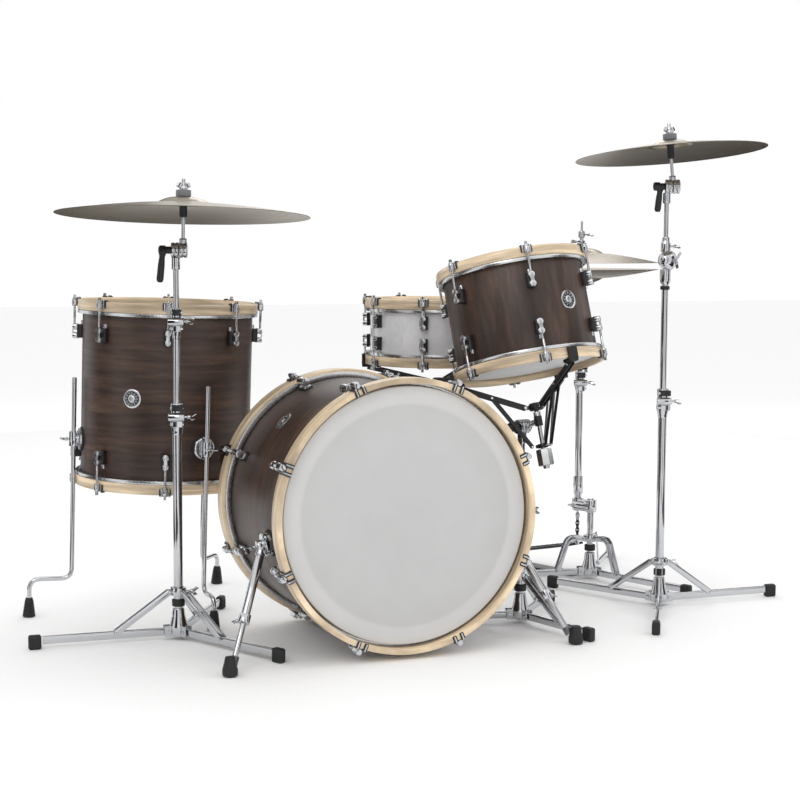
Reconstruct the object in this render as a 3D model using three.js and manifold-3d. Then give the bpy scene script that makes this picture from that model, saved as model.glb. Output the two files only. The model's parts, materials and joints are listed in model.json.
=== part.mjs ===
// Acoustic drum kit: bass drum, floor tom, rack tom and snare in baskets, two cymbals on straight
// stands and a pair of hi-hats on a pedal stand.  Millimetres, +Z up.  Everything is laid out on a
// floor plan whose zero is the floor point under the bass drum's front rim, with the bass drum's axis
// along +Y towards the player; at the end the whole kit moves so that zero is its middle on the floor.
import * as THREE from "three";
import { mergeVertices } from "three/addons/utils/BufferGeometryUtils.js";
import Module from "manifold-3d";

// ---- driving dimensions -------------------------------------------------------------------------
const INCH = 25.4;
const GAP = 0.4; // clearance between neighbouring pieces
const ROUND = 28; // facets on drums and cymbals
const PIPE = 12; // facets on tubes
const PIN = 8; // facets on small rods

const BASS = {
  diameter: 22 * INCH, length: 462, wall: 8, rimRadius: 299.5, rimWall: 13, rimDepth: 40,
  headInset: 18, tilt: 1.46, lugs: 8, firstLug: 22.5, lugInset: 82, lugSize: [18, 12, 34],
};
const SPUR = {
  turn: 12, along: 130, disc: 27, seat: 290, plate: 7, footX: 402, footY: -2,
  outer: 9.5, bore: 7, inner: 6.5, capStart: 4, tubeStart: 14, tubeEnd: 182, innerStart: 112,
  collar: 12.5, collarLength: 18, cone: 15, coneRise: 30,
};
const FLOOR_TOM = {
  diameter: 16 * INCH, length: 442.5, lugs: 8, firstLug: -58.7, x: -371, y: 681, z: 312.5,
  lean: [0.0258, -0.0103],
};
const TOM_LEG = {
  turns: [176.6, -78.6, 50], reaches: [100, 56, 96], ring: 222, radius: 5.5, top: 255, bend: 82,
  foot: 15, footRise: 46, bracket: [34, 34, 40], bracketHeight: 108,
};
const RACK_TOM = {
  diameter: 13 * INCH, length: 265, lugs: 6, firstLug: -103, x: 395, y: 234, z: 595.5,
  lean: [-0.0865, 0.264],
};
const SNARE = {
  diameter: 14 * INCH, length: 168, lugs: 8, firstLug: 10, x: 347, y: 665, z: 589, lean: [0, 0],
};
const STRAINER = { turn: 122.5, block: [19, 26, 74], lever: [5, 14, 52], leverRaise: 6 };
const TOM_WALL = 7; // a tom's or snare's shell
const TOM_LUG = { size: [16, 12, 26], inset: 62, share: 0.24 }; // the share holds on a shallow drum
const HOOP = { rise: 24, wall: 8.5, clear: 3.9, lip: 8 }; // bent maple counter hoop
const HEAD = { film: 0.8, collar: 8 };

const TRIPOD = {
  hubRadius: 22, hubTop: 46, legTop: 28, legHeight: 18, legWidth: 12, footLength: 30, footWidth: 20,
  footHeight: 33,
  braceReach: 143, braceHeight: 110, braceWidth: 12, braceDepth: 4, collarRadius: 19, collarHalf: 9,
};
const POLE_FOOT = 40; // height where a stand's lowest tube starts
const CLAMP_WALL = 5.5;
const TILTER = { radius: 17, half: 16 };
const POST = { rod: 4, start: 19, sleeve: 5.6, sleeveDrop: 22, felt: 13, underFelt: 9, topFelt: 12, tip: 34,
  nut: [8.5, 14, 28], sag: 2.4 };
const LEFT_STAND = {
  x: -420, y: 359, reach: 316.7, turn: 57.3, tubes: [10.5, 8, 6.35], baseTop: 537, baseClamp: 476,
  middle: [387, 750], middleClamp: 687, upper: [600, 858], collar: [12, 837], tilter: 878,
  tilterShift: 8, postShift: 8,
  cymbal: { radius: 282, rise: 41, bell: 62, lean: [0.0297, 0.0494], rim: 77 },
};
const RIGHT_STAND = {
  x: 790, y: 282.6, reach: 316.7, turn: -1.65, tubes: [10.5, 8, 5.8], baseTop: 542, baseClamp: 477,
  tube: [400, 832], ball: 858, ballRadius: 25, boomStart: 885, boomSleeve: [12, 914], boomCollar: [10, 996],
  boomTop: 1018, tilter: 1037, tilterShift: 8, postShift: 2, ballTurn: -76.7,
  cymbal: { radius: 232, rise: 34, bell: 52, lean: [-0.0498, 0.084], rim: 79 },
};
const HIHAT = {
  baseX: 785, baseY: 648, x: 768.5, y: 689.9, reach: 318, legTurns: [-68.5, 51.5, 171.5], braceReach: 95,
  post: [8.5, 8], stop: [16, 100, 122], block: [182, 211], blockWidth: 26, blockEnd: 14,
  outer: [9.5, 7.4], clamp: [14, 512, 557], tube: [7, 3.6], tubeLow: 420, tubeTop: 786, seat: [16, 776],
  rod: [3, 158, 958], knob: [6, 172], bore: 3.4,
  cymbal: { radius: 203.2, rise: 38, bell: 58 }, bottomRim: 830.5, topRim: 849,
};
const PEDAL = { turn: 111.5, length: 250, width: 84, thick: 8, toe: 88, heel: 34, heelBlock: [46, 22],
  plate: [52, 5, 4], link: [30, 14, 20, 24] };
const TOM_STAND = {
  x: 380, y: 240, reach: 231.5, turn: -74.5, split: 300, tilter: 468, hubDrop: 82,
  armTurns: [158, 38, -82],
};
const SNARE_STAND = {
  x: 313, y: 652, reach: 230, turn: -10, split: 300, tilter: 500, hubDrop: 46,
  armTurns: [158, 38, -82],
};
const BASKET = {
  outer: 10.5, inner: 8, clamp: 40, engaged: 120, hub: [17, 8], shaft: [5, 110], adjuster: [17, 140, 101],
  armStart: 24, arm: [12, 6], shelf: [30, 20, 8], grip: [7, 20, 32], stay: 7,
};

// ---- finishes -----------------------------------------------------------------------------------
const finish = (color, roughness, metalness) => new THREE.MeshStandardMaterial({ color, roughness,
  metalness });
const WALNUT = finish(0x3a2418, 0.45, 0);
const MAPLE = finish(0xc79a63, 0.5, 0);
const FILM = finish(0xe9e9e6, 0.5, 0);
const PEARL = finish(0xeeeeea, 0.35, 0);
const CHROME = finish(0xd5d7da, 0.15, 1);
const BRONZE = finish(0xb9aa86, 0.35, 1);
const BLACK = finish(0x151515, 0.55, 0);

// ---- solids: geometries in, one closed geometry out -----------------------------------------------
const wasm = await Module();
wasm.setup();

function toSolid(geometry) {
  const bare = geometry.index ? geometry.toNonIndexed() : geometry.clone();
  bare.deleteAttribute("normal");
  bare.deleteAttribute("uv");
  const merged = mergeVertices(bare, 1e-3);
  const vertProperties = merged.attributes.position.array;
  const triVerts = new Uint32Array(merged.index.array);
  return new wasm.Manifold(new wasm.Mesh({ numProp: 3, vertProperties, triVerts }));
}

function toGeometry(solid) {
  const mesh = solid.getMesh();
  const geometry = new THREE.BufferGeometry();
  geometry.setAttribute("position", new THREE.BufferAttribute(mesh.vertProperties, 3));
  geometry.setIndex(new THREE.BufferAttribute(mesh.triVerts, 1));
  geometry.computeVertexNormals();
  return geometry;
}

const join = (geometries) => toGeometry(geometries.map(toSolid).reduce((whole, next) => whole.add(next)));
const cut = (geometry, tool) => toGeometry(toSolid(geometry).subtract(toSolid(tool)));

// ---- shapes, each standing on the local z axis ------------------------------------------------------
const radians = THREE.MathUtils.degToRad;
const at = (radius, turn, z = 0) => new THREE.Vector3(radius * Math.cos(turn), radius * Math.sin(turn), z);

// A [radius, height] outline turned about z; it is closed on itself, or starts and ends on the axis.
function revolve(outline, facets = ROUND) {
  const points = outline.map(([radius, height]) => new THREE.Vector2(radius, height));
  return new THREE.LatheGeometry(points, facets).rotateX(Math.PI / 2);
}

const ring = (outline, facets) => revolve([...outline, outline[0]], facets);

function pipe(outer, inner, low, high, facets = PIPE) {
  return ring([[inner, low], [outer, low], [outer, high], [inner, high]], facets);
}

function rod(radius, low, high, facets = PIN) {
  return new THREE.CylinderGeometry(radius, radius, high - low, facets).rotateX(Math.PI / 2)
    .translate(0, 0, (low + high) / 2);
}

const block = (x, y, z) => new THREE.BoxGeometry(x, y, z);

// Stands a shape that was made along z on the line from one point towards another.
function along(geometry, from, to) {
  const direction = to.clone().sub(from).normalize();
  const turn = new THREE.Quaternion().setFromUnitVectors(new THREE.Vector3(0, 0, 1), direction);
  return geometry.clone().applyQuaternion(turn).translate(from.x, from.y, from.z);
}

const bar = (from, to, radius, facets = PIN) => along(rod(radius, 0, from.distanceTo(to), facets), from, to);

// A flat bar between two points, its wide face upright.
function strap(from, to, width, depth) {
  const run = to.clone().sub(from);
  const level = Math.hypot(run.x, run.y);
  return block(run.length(), depth, width).rotateY(-Math.atan2(run.z, level)).rotateZ(Math.atan2(run.y,
    run.x))
    .translate((from.x + to.x) / 2, (from.y + to.y) / 2, (from.z + to.z) / 2);
}

const turned = (geometry, degrees) => geometry.rotateZ(radians(degrees));

// ---- the kit --------------------------------------------------------------------------------------
const kit = new THREE.Group();

function add(group, name, geometry, material) {
  const mesh = new THREE.Mesh(geometry, material);
  mesh.name = name;
  group.add(mesh);
}

function placed(x, y, z, [leanX, leanY] = [0, 0]) {
  const group = new THREE.Group();
  group.position.set(x, y, z);
  const axis = new THREE.Vector3(leanX, leanY, 1).normalize();
  group.quaternion.setFromUnitVectors(new THREE.Vector3(0, 0, 1), axis);
  kit.add(group);
  return group;
}

// A drum head: a film drawn over the shell's edge, ending in a metal ring that the hoop pulls on.
// It lies at `top`, with its ring below it; `flip` turns it over for the other end of a drum.
function drumHead(shellRadius, top, ringTop, ringReach, flip = 1) {
  const inside = shellRadius + GAP;
  const skirt = inside + HEAD.film;
  const ringLow = ringTop - HEAD.collar;
  const outline = [[0, top], [skirt, top], [skirt, ringTop], [inside + ringReach, ringTop],
    [inside + ringReach, ringLow], [inside, ringLow], [inside, top - HEAD.film], [0, top - HEAD.film]];
  const turnedOver = outline.map(([radius, height]) => [radius, flip * height]);
  return revolve(flip > 0 ? turnedOver.reverse() : turnedOver);
}

// A bent wooden hoop, standing on the head's ring.
function woodHoop(shellRadius, low) {
  const inside = shellRadius + HOOP.clear;
  return pipe(inside + HOOP.wall, inside, low, low + HOOP.rise, ROUND);
}

// Plain cores for the lugs along one edge of a shell, standing out of it at equal turns.
function lugCores(shellRadius, middle, [depth, width, height], count, first) {
  const buried = depth / 4;
  return Array.from({ length: count }, (_, i) => turned(
    block(depth, width, height).translate(shellRadius + depth / 2 - buried, 0, middle),
    first + (i * 360) / count));
}

// A tom or snare: shell with lugs, two heads and two wooden hoops, standing on z = 0.
function tomDrum(group, name, drum, wrap, shellExtras = []) {
  const { length, lugs, firstLug } = drum;
  const radius = drum.diameter / 2;
  const edge = HOOP.rise - HOOP.lip; // the head's film lies below the hoop's lip
  const end = edge + HEAD.film + GAP;
  const ringReach = HOOP.clear + HOOP.wall - 1;
  const lugLow = edge + Math.min(TOM_LUG.inset, length * TOM_LUG.share);
  const cores = [lugLow, length - lugLow].flatMap((z) => lugCores(radius, z, TOM_LUG.size, lugs, firstLug));
  const shell = pipe(radius, radius - TOM_WALL, end, length - end, ROUND);
  add(group, `${name}_shell`, join([shell, ...cores, ...shellExtras]), wrap);
  add(group, `${name}_head_top`, drumHead(radius, length - edge, length - HOOP.rise - GAP, ringReach), FILM);
  add(group, `${name}_head_bottom`, drumHead(radius, -edge, -HOOP.rise - GAP, ringReach, -1), FILM);
  add(group, `${name}_hoop_top`, woodHoop(radius, length - HOOP.rise), MAPLE);
  add(group, `${name}_hoop_bottom`, woodHoop(radius, 0), MAPLE);
}

// ---- bass drum --------------------------------------------------------------------------------------
const bassRadius = BASS.diameter / 2;
const bassTilt = radians(BASS.tilt);
const bassMiddle = BASS.rimRadius * Math.cos(bassTilt) + BASS.length * Math.sin(bassTilt); // at the front rim

// Its own z axis runs from the front rim to the rear rim; its own y axis points down.
function bassDrum() {
  const group = placed(0, 0, bassMiddle);
  group.rotation.x = -Math.PI / 2 - bassTilt;
  const end = BASS.headInset + HEAD.film + GAP;
  const cores = [BASS.lugInset, BASS.length - BASS.lugInset]
    .flatMap((z) => lugCores(bassRadius, z, BASS.lugSize, BASS.lugs, BASS.firstLug));
  const seats = [SPUR.turn, 180 - SPUR.turn].map((turn) => turned(
    rod(SPUR.disc, bassRadius - 3, SPUR.seat, PIPE).rotateY(Math.PI / 2).translate(0, 0, SPUR.along), turn));
  const shell = pipe(bassRadius, bassRadius - BASS.wall, end, BASS.length - end, ROUND);
  add(group, "bass_shell", join([shell, ...cores, ...seats]), WALNUT);
  const rims = { front: [0, BASS.rimDepth], rear: [BASS.length - BASS.rimDepth, BASS.length] };
  Object.entries(rims).forEach(([side, [low, high]]) =>
    add(group, `bass_hoop_${side}`, pipe(BASS.rimRadius, BASS.rimRadius - BASS.rimWall, low, high,
      ROUND), MAPLE));
  const reach = BASS.rimRadius - bassRadius - 7;
  const ringTop = BASS.rimDepth + GAP;
  add(group, "bass_head_rear", drumHead(bassRadius, BASS.length - BASS.headInset, BASS.length - ringTop,
    reach), FILM);
  add(group, "bass_head_front", drumHead(bassRadius, -BASS.headInset, -ringTop, reach, -1), FILM);
}

// ---- bass drum spurs ----------------------------------------------------------------------------------
// The hub lies on the shell's side, below its middle; the tube leads from it down to the rubber foot.
function spur(side) {
  const name = side < 0 ? "left" : "right";
  const turn = radians(SPUR.turn);
  const outward = new THREE.Vector3(side * Math.cos(turn), 0, -Math.sin(turn));
  const axisPoint = new THREE.Vector3(0, SPUR.along, bassMiddle - SPUR.along * Math.sin(bassTilt));
  const seat = axisPoint.addScaledVector(outward, SPUR.seat + GAP);
  const hub = seat.clone().addScaledVector(outward, SPUR.plate);
  const foot = new THREE.Vector3(side * SPUR.footX, SPUR.footY, 0);
  const collarLow = SPUR.tubeEnd - SPUR.collarLength;
  const plate = along(rod(SPUR.disc, 0, SPUR.plate, PIPE), seat, hub);
  const knuckle = along(rod(SPUR.collar, 0, SPUR.collar, PIPE), hub, hub.clone().add(outward));
  const tube = along(pipe(SPUR.outer, SPUR.bore, SPUR.tubeStart, SPUR.tubeEnd), hub, foot);
  const cap = along(rod(SPUR.outer - 1, SPUR.capStart, SPUR.tubeStart + 2, PIPE), hub, foot);
  const collar = along(pipe(SPUR.collar, SPUR.bore + 1, collarLow, SPUR.tubeEnd), hub, foot);
  add(kit, `spur_${name}_tube`, join([plate, knuckle, cap, tube, collar]), CHROME);
  const innerEnd = hub.distanceTo(foot) - SPUR.coneRise + 10;
  const inner = along(rod(SPUR.inner, SPUR.innerStart, innerEnd, PIPE), hub, foot);
  const cone = rod(SPUR.cone, 0, SPUR.coneRise, PIPE).translate(foot.x, foot.y, 0);
  add(kit, `spur_${name}_rod`, join([inner, cone]), CHROME);
}

// ---- floor tom and its three legs ---------------------------------------------------------------------
// Each leg is one bent rod: down through its bracket, out at the knee, and down into its rubber foot.
function floorTom() {
  const { x, y, z, lean } = FLOOR_TOM;
  const group = placed(x, y, z, lean);
  const [depth, width, height] = TOM_LEG.bracket;
  const bracketMiddle = FLOOR_TOM.diameter / 2 + depth / 2 - 4;
  const bore = rod(TOM_LEG.radius + 2 * GAP, 0, FLOOR_TOM.length).translate(TOM_LEG.ring, 0, 0);
  const brackets = TOM_LEG.turns.map((turn) => turned(
    cut(block(depth, width, height).translate(bracketMiddle, 0, TOM_LEG.bracketHeight), bore), turn));
  tomDrum(group, "floor_tom", FLOOR_TOM, WALNUT, brackets);
  TOM_LEG.turns.forEach((turn, i) => add(group, `floor_tom_leg_${i + 1}`, tomLeg(turn,
    TOM_LEG.reaches[i]), CHROME));
}

function tomLeg(turn, reach) {
  const top = at(TOM_LEG.ring, radians(turn), TOM_LEG.top);
  const knee = top.clone().setZ(TOM_LEG.bend - FLOOR_TOM.z);
  const ankle = knee.clone().addScaledVector(at(1, radians(turn)), reach);
  const sole = ankle.clone().setZ(floorBelow(ankle) + TOM_LEG.foot * Math.hypot(...FLOOR_TOM.lean));
  const bends = [knee, ankle].map((p) =>
    new THREE.SphereGeometry(TOM_LEG.radius + 0.7, PIN, 6).translate(p.x, p.y, p.z));
  const foot = rod(TOM_LEG.foot, 0, TOM_LEG.footRise, PIPE).translate(sole.x, sole.y, sole.z);
  const runs = [[knee, top], [knee, ankle], [sole, ankle]].map(([from, to]) => bar(from, to, TOM_LEG.radius));
  return join([...runs, foot, ...bends]);
}

// The floor's height in the leaning floor tom's own frame, below one of its points.
function floorBelow(point) {
  const [leanX, leanY] = FLOOR_TOM.lean;
  return leanX * point.x + leanY * point.y - FLOOR_TOM.z * Math.hypot(leanX, leanY, 1);
}

// ---- stands -------------------------------------------------------------------------------------------
// A flat tripod: a hub on the pole, three level legs with rubber feet, and braces up to a collar.
function tripod(reach, turns, braceReach = TRIPOD.braceReach) {
  const { hubRadius, legTop, legHeight, legWidth, footLength, footWidth, footHeight } = TRIPOD;
  const { braceHeight, collarRadius, collarHalf } = TRIPOD;
  const middle = legTop - legHeight / 2;
  const legs = turns.flatMap((degrees) => {
    const turn = radians(degrees);
    const braceTop = at(collarRadius - 5, turn, braceHeight);
    return [
      strap(at(0, 0, middle), at(reach, turn, middle), legHeight, legWidth),
      turned(block(footLength, footWidth, footHeight).translate(reach, 0, footHeight / 2), degrees),
      strap(braceTop, at(braceReach, turn, middle), TRIPOD.braceWidth, TRIPOD.braceDepth),
    ];
  });
  const hub = rod(hubRadius, legTop - legHeight, TRIPOD.hubTop, PIPE);
  const collar = pipe(collarRadius, collarRadius / 2, braceHeight - collarHalf, braceHeight + collarHalf);
  return [hub, collar, ...legs];
}

const thirds = (turn) => [turn, turn + 120, turn + 240];

// A tube that holds the next one inside it, with its clamp round the upper end.
function sleeve(outer, inner, low, high, clampLow) {
  return [pipe(outer, inner + GAP, low, high), pipe(outer + CLAMP_WALL, inner + GAP, clampLow, high)];
}

// A toothed tilter splits across its own axis: one half on the piece below, one on the piece above.
function tilterHalf(centre, axis, side, radius = TILTER.radius) {
  const inner = centre.clone().addScaledVector(axis, side * GAP);
  const outer = centre.clone().addScaledVector(axis, side * TILTER.half);
  const disc = bar(inner, outer, radius, PIPE);
  const reach = radius + 7;
  const yoke = block(TILTER.half - 3, radius, reach)
    .translate(side * (TILTER.half / 2 + GAP), 0, (side * reach) / 2)
    .rotateZ(Math.atan2(axis.y, axis.x)).translate(centre.x, centre.y, centre.z);
  return [disc, yoke];
}

function leanAxis([leanX, leanY]) {
  return new THREE.Vector3(leanX, leanY, 1).normalize();
}

const ACROSS = at(1, radians(-21.7)); // the tilters' level axis

// A cymbal: bell, bow and thin rim, its rim's plane at z = 0; flip makes it face down.
function cymbalDisc({ radius, rise, bell }, hole, flip = 1) {
  const thick = 1.4;
  const shoulder = rise * 0.62;
  const bow = [0.35, 0.7, 1].map((part) => [bell + part * (radius - bell), shoulder * (1 - part ** 1.35)]);
  const top = [[hole, rise], [bell * 0.55, rise * 0.93], [bell, shoulder], ...bow];
  const under = top.map(([r, z]) => [r, z - thick]).reverse();
  const outline = [...top, ...under].map(([r, z]) => [r, flip * z]);
  return ring(flip > 0 ? outline.reverse() : outline);
}

// The post above a tilter: rod, sleeve, two felts round the cymbal's bell, and the nut on top.
function cymbalPost(centre, stand) {
  const { cymbal, postShift } = stand;
  const foot = centre.clone().addScaledVector(ACROSS, postShift);
  const seat = cymbal.rim + cymbal.rise;
  const under = seat - POST.sag; // below the bell, which curves down over the felt
  const stack = [
    rod(POST.rod, POST.start, seat + POST.tip),
    rod(POST.sleeve, seat - POST.sleeveDrop, seat + GAP + 10),
    rod(POST.felt, under - POST.underFelt, under, PIPE),
    rod(POST.felt, seat + GAP, seat + GAP + POST.topFelt, PIPE),
    rod(POST.nut[0], seat + POST.nut[1], seat + POST.nut[2], PIPE),
  ];
  const tip = foot.clone().add(leanAxis(cymbal.lean));
  return join([...stack.map((piece) => along(piece, foot, tip)), ...tilterHalf(centre, ACROSS, 1)]);
}

function addCymbal(name, centre, { cymbal, postShift }) {
  const foot = centre.clone().addScaledVector(ACROSS, postShift);
  const middle = foot.addScaledVector(leanAxis(cymbal.lean), cymbal.rim);
  const group = placed(middle.x, middle.y, middle.z, cymbal.lean);
  add(group, name, cymbalDisc(cymbal, 7.5), BRONZE);
}

// The middle of a stand's upper tilter, which sits a little beside the tube that carries it.
function tilterCentre({ tilter, tilterShift }) {
  return new THREE.Vector3(0, 0, tilter).addScaledVector(ACROSS, tilterShift);
}

function standBase(stand) {
  const [outer, inner] = stand.tubes;
  return join([...tripod(stand.reach, thirds(stand.turn)),
    ...sleeve(outer, inner, POLE_FOOT, stand.baseTop, stand.baseClamp)]);
}

function leftStand() {
  const { x, y, tubes, middle, middleClamp, upper, collar } = LEFT_STAND;
  const group = placed(x, y, 0);
  const centre = tilterCentre(LEFT_STAND);
  const top = upper[1];
  add(group, "left_stand_base", standBase(LEFT_STAND), CHROME);
  add(group, "left_stand_middle_tube", join(sleeve(tubes[1], tubes[2], ...middle, middleClamp)), CHROME);
  add(group, "left_stand_upper_tube", join([rod(tubes[2], ...upper, PIPE), rod(...collar, top, PIPE),
    ...tilterHalf(centre, ACROSS, -1)]), CHROME);
  add(group, "left_stand_cymbal_post", cymbalPost(centre, LEFT_STAND), CHROME);
  addCymbal("left_cymbal", centre.add(group.position), LEFT_STAND);
}

function rightStand() {
  const { x, y, tubes, ball, ballRadius, boomStart, boomTop } = RIGHT_STAND;
  const group = placed(x, y, 0);
  const hinge = new THREE.Vector3(0, 0, ball);
  const ballAxis = at(1, radians(RIGHT_STAND.ballTurn));
  const centre = tilterCentre(RIGHT_STAND);
  const [sleeveRadius, sleeveTop] = RIGHT_STAND.boomSleeve;
  add(group, "right_stand_base", standBase(RIGHT_STAND), CHROME);
  add(group, "right_stand_tube", join([rod(tubes[1], ...RIGHT_STAND.tube, PIPE),
    ...tilterHalf(hinge, ballAxis, -1, ballRadius)]), CHROME);
  add(group, "right_stand_boom", join([rod(tubes[2], boomStart, boomTop, PIPE),
    rod(sleeveRadius, boomStart, sleeveTop, PIPE), rod(...RIGHT_STAND.boomCollar, boomTop, PIPE),
    ...tilterHalf(hinge, ballAxis, 1, ballRadius), ...tilterHalf(centre, ACROSS, -1)]), CHROME);
  add(group, "right_stand_cymbal_post", cymbalPost(centre, RIGHT_STAND), CHROME);
  addCymbal("right_cymbal", centre.add(group.position), RIGHT_STAND);
}

// ---- hi-hat stand -----------------------------------------------------------------------------------
const hatOffset = new THREE.Vector3(HIHAT.x - HIHAT.baseX, HIHAT.y - HIHAT.baseY, 0);

// The leg post stands beside the pull tube; an offset block joins them over the pedal's pull rod.
function hiHatBase() {
  const { block: [blockLow, blockHigh], clamp: [clampRadius, clampLow, clampTop], outer: [outer,
    bore] } = HIHAT;
  const middle = (blockLow + blockHigh) / 2;
  const over = hatOffset.clone().normalize();
  const joint = strap(over.clone().multiplyScalar(-HIHAT.blockEnd).setZ(middle),
    over.clone().multiplyScalar(hatOffset.length() + HIHAT.blockEnd).setZ(middle),
    blockHigh - blockLow, HIHAT.blockWidth);
  const well = rod(bore, 0, clampTop, PIPE).translate(hatOffset.x, hatOffset.y, 0);
  const tubes = [pipe(outer, bore, blockHigh - 2, clampTop), pipe(clampRadius, bore, clampLow, clampTop)]
    .map((piece) => piece.translate(hatOffset.x, hatOffset.y, 0));
  const post = [rod(...HIHAT.post, middle, PIPE), rod(...HIHAT.stop, PIPE)];
  return join([cut(joint, well), ...tubes, ...post, ...tripod(HIHAT.reach, HIHAT.legTurns,
    HIHAT.braceReach), ...pedalFrame()]);
}

// The heel block and base plate on the floor, and the link that ties them to the leg post.
function pedalFrame() {
  const [heelLength, heelHeight] = PEDAL.heelBlock;
  const [plateWidth, plateThick, plateHeight] = PEDAL.plate;
  const [linkReach, linkHeight, linkRise, linkWidth] = PEDAL.link;
  const heel = block(heelLength, PEDAL.width, heelHeight)
    .translate(PEDAL.length + heelLength / 2 + 3, 0, heelHeight / 2);
  const plate = block(PEDAL.length + 40, plateWidth, plateThick).translate(PEDAL.length / 2 + 20, 0,
    plateHeight);
  const toe = hatOffset.clone().addScaledVector(at(1, radians(PEDAL.turn)), linkReach).setZ(linkHeight);
  const link = strap(new THREE.Vector3(0, 0, linkHeight), toe, linkRise, linkWidth);
  const onFloor = [heel, plate].map((piece) =>
    turned(piece, PEDAL.turn).translate(hatOffset.x, hatOffset.y, 0));
  return [link, ...onFloor];
}

function footboard() {
  const slope = Math.atan2(PEDAL.toe - PEDAL.heel, PEDAL.length);
  const board = block(PEDAL.length + 6, PEDAL.width, PEDAL.thick).rotateY(slope)
    .translate(PEDAL.length / 2, 0, (PEDAL.toe + PEDAL.heel) / 2);
  return turned(board, PEDAL.turn);
}

function hiHat() {
  const base = placed(HIHAT.baseX, HIHAT.baseY, 0);
  const pull = placed(HIHAT.x, HIHAT.y, 0);
  const { tube: [tubeOuter, tubeBore], rod: [rodRadius, rodLow, rodTop], bottomRim, topRim, bore } = HIHAT;
  const seatTop = bottomRim - HIHAT.cymbal.rise - GAP;
  const bell = topRim + HIHAT.cymbal.rise;
  const [seatRadius, seatLow] = HIHAT.seat;
  const [knobRadius, knobTop] = HIHAT.knob;
  add(base, "hihat_base", hiHatBase(), CHROME);
  add(pull, "hihat_tube", join([pipe(tubeOuter, tubeBore, HIHAT.tubeLow, HIHAT.tubeTop),
    pipe(seatRadius, tubeBore, seatLow, seatTop)]), CHROME);
  add(pull, "hihat_pull_rod", join([rod(rodRadius, rodLow, rodTop), rod(knobRadius, rodLow, knobTop)]),
    CHROME);
  add(pull, "hihat_bottom_cymbal", cymbalDisc(HIHAT.cymbal, 6.5, -1).translate(0, 0, bottomRim), BRONZE);
  add(pull, "hihat_top_cymbal", cymbalDisc(HIHAT.cymbal, 6.5).translate(0, 0, topRim), BRONZE);
  add(pull, "hihat_clutch", join([pipe(5.6, bore, bell - 15, bell + 44), pipe(10, bore, bell - 15,
    bell - POST.sag),
    pipe(12, bore, bell + GAP, bell + 12), pipe(9, bore, bell + 24, bell + 44)]), CHROME);
  add(pull, "hihat_footboard", footboard(), BLACK);
}

// ---- basket stands --------------------------------------------------------------------------------------
// The basket's three arms reach from a hub below the drum to rubber grips round its bottom hoop.
function basketArm(radius, turn, hubDrop) {
  const hoopOuter = radius + HOOP.clear + HOOP.wall;
  const arm = strap(at(BASKET.armStart, 0, -hubDrop), at(hoopOuter - 6, 0, -9), ...BASKET.arm);
  const shelf = block(...BASKET.shelf).translate(hoopOuter - 7, 0, -5);
  const grip = block(...BASKET.grip).translate(hoopOuter + 4.6, 0, 7);
  return turned(join([arm, shelf, grip]), turn);
}

// The basket's hub with its screw shaft and adjuster, tied to the tilter's upper half by a stay.
function basketHub(basket, pivot, tiltAxis, hubDrop) {
  const [hubRadius, hubHalf] = BASKET.hub;
  const [shaftRadius, shaftLength] = BASKET.shaft;
  const [adjusterRadius, adjusterLow, adjusterHigh] = BASKET.adjuster;
  const upright = [
    rod(hubRadius, -hubDrop - hubHalf, -hubDrop + hubHalf, PIPE),
    rod(shaftRadius, -hubDrop - shaftLength, -hubDrop),
    rod(adjusterRadius, -hubDrop - adjusterLow, -hubDrop - adjusterHigh),
  ].map((piece) => piece.applyMatrix4(basket.matrix));
  const shaftPoint = new THREE.Vector3(0, 0, -hubDrop - 40).applyMatrix4(basket.matrix);
  const stayStart = pivot.clone().addScaledVector(tiltAxis, 9);
  return join([...upright, bar(stayStart, shaftPoint, BASKET.stay), ...tilterHalf(pivot, tiltAxis, 1)]);
}

function basketStand(name, stand, drum) {
  const group = placed(stand.x, stand.y, 0);
  const lowTube = sleeve(BASKET.outer, BASKET.inner, POLE_FOOT, stand.split, stand.split - BASKET.clamp);
  add(group, `${name}_base`, join([...tripod(stand.reach, thirds(stand.turn)), ...lowTube]), CHROME);
  const [leanX, leanY] = drum.lean;
  const tiltAxis = leanY ? new THREE.Vector3(leanY, -leanX, 0).normalize() : ACROSS;
  const centre = new THREE.Vector3(0, 0, stand.tilter);
  const riser = rod(BASKET.inner, stand.split - BASKET.engaged, stand.tilter - TILTER.radius - 2, PIPE);
  add(group, `${name}_riser`, join([riser, ...tilterHalf(centre, tiltAxis, -1)]), CHROME);

  const basket = placed(drum.x, drum.y, drum.z, drum.lean);
  basket.updateMatrix();
  const pivot = centre.clone().add(group.position);
  add(kit, `${name}_basket`, basketHub(basket, pivot, tiltAxis, stand.hubDrop), CHROME);
  stand.armTurns.forEach((turn, i) =>
    add(basket, `${name}_arm_${i + 1}`, basketArm(drum.diameter / 2, turn, stand.hubDrop), BLACK));
}

function rackTom() {
  tomDrum(placed(RACK_TOM.x, RACK_TOM.y, RACK_TOM.z, RACK_TOM.lean), "rack_tom", RACK_TOM, WALNUT);
}

// The snare carries a strainer block for its wires, with a throw-off lever hinged at the block's foot.
function snare() {
  const group = placed(SNARE.x, SNARE.y, SNARE.z);
  const radius = SNARE.diameter / 2;
  const middle = SNARE.length / 2;
  const blockOut = radius + STRAINER.block[0] / 2 - 4;
  const leverOut = radius + STRAINER.block[0] - GAP;
  const strainer = turned(block(...STRAINER.block).translate(blockOut, 0, middle), STRAINER.turn);
  const lever = turned(block(...STRAINER.lever).translate(leverOut, 0, middle + STRAINER.leverRaise),
    STRAINER.turn);
  tomDrum(group, "snare", SNARE, PEARL, [strainer]);
  add(group, "snare_throw_off", lever, CHROME);
}

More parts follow.
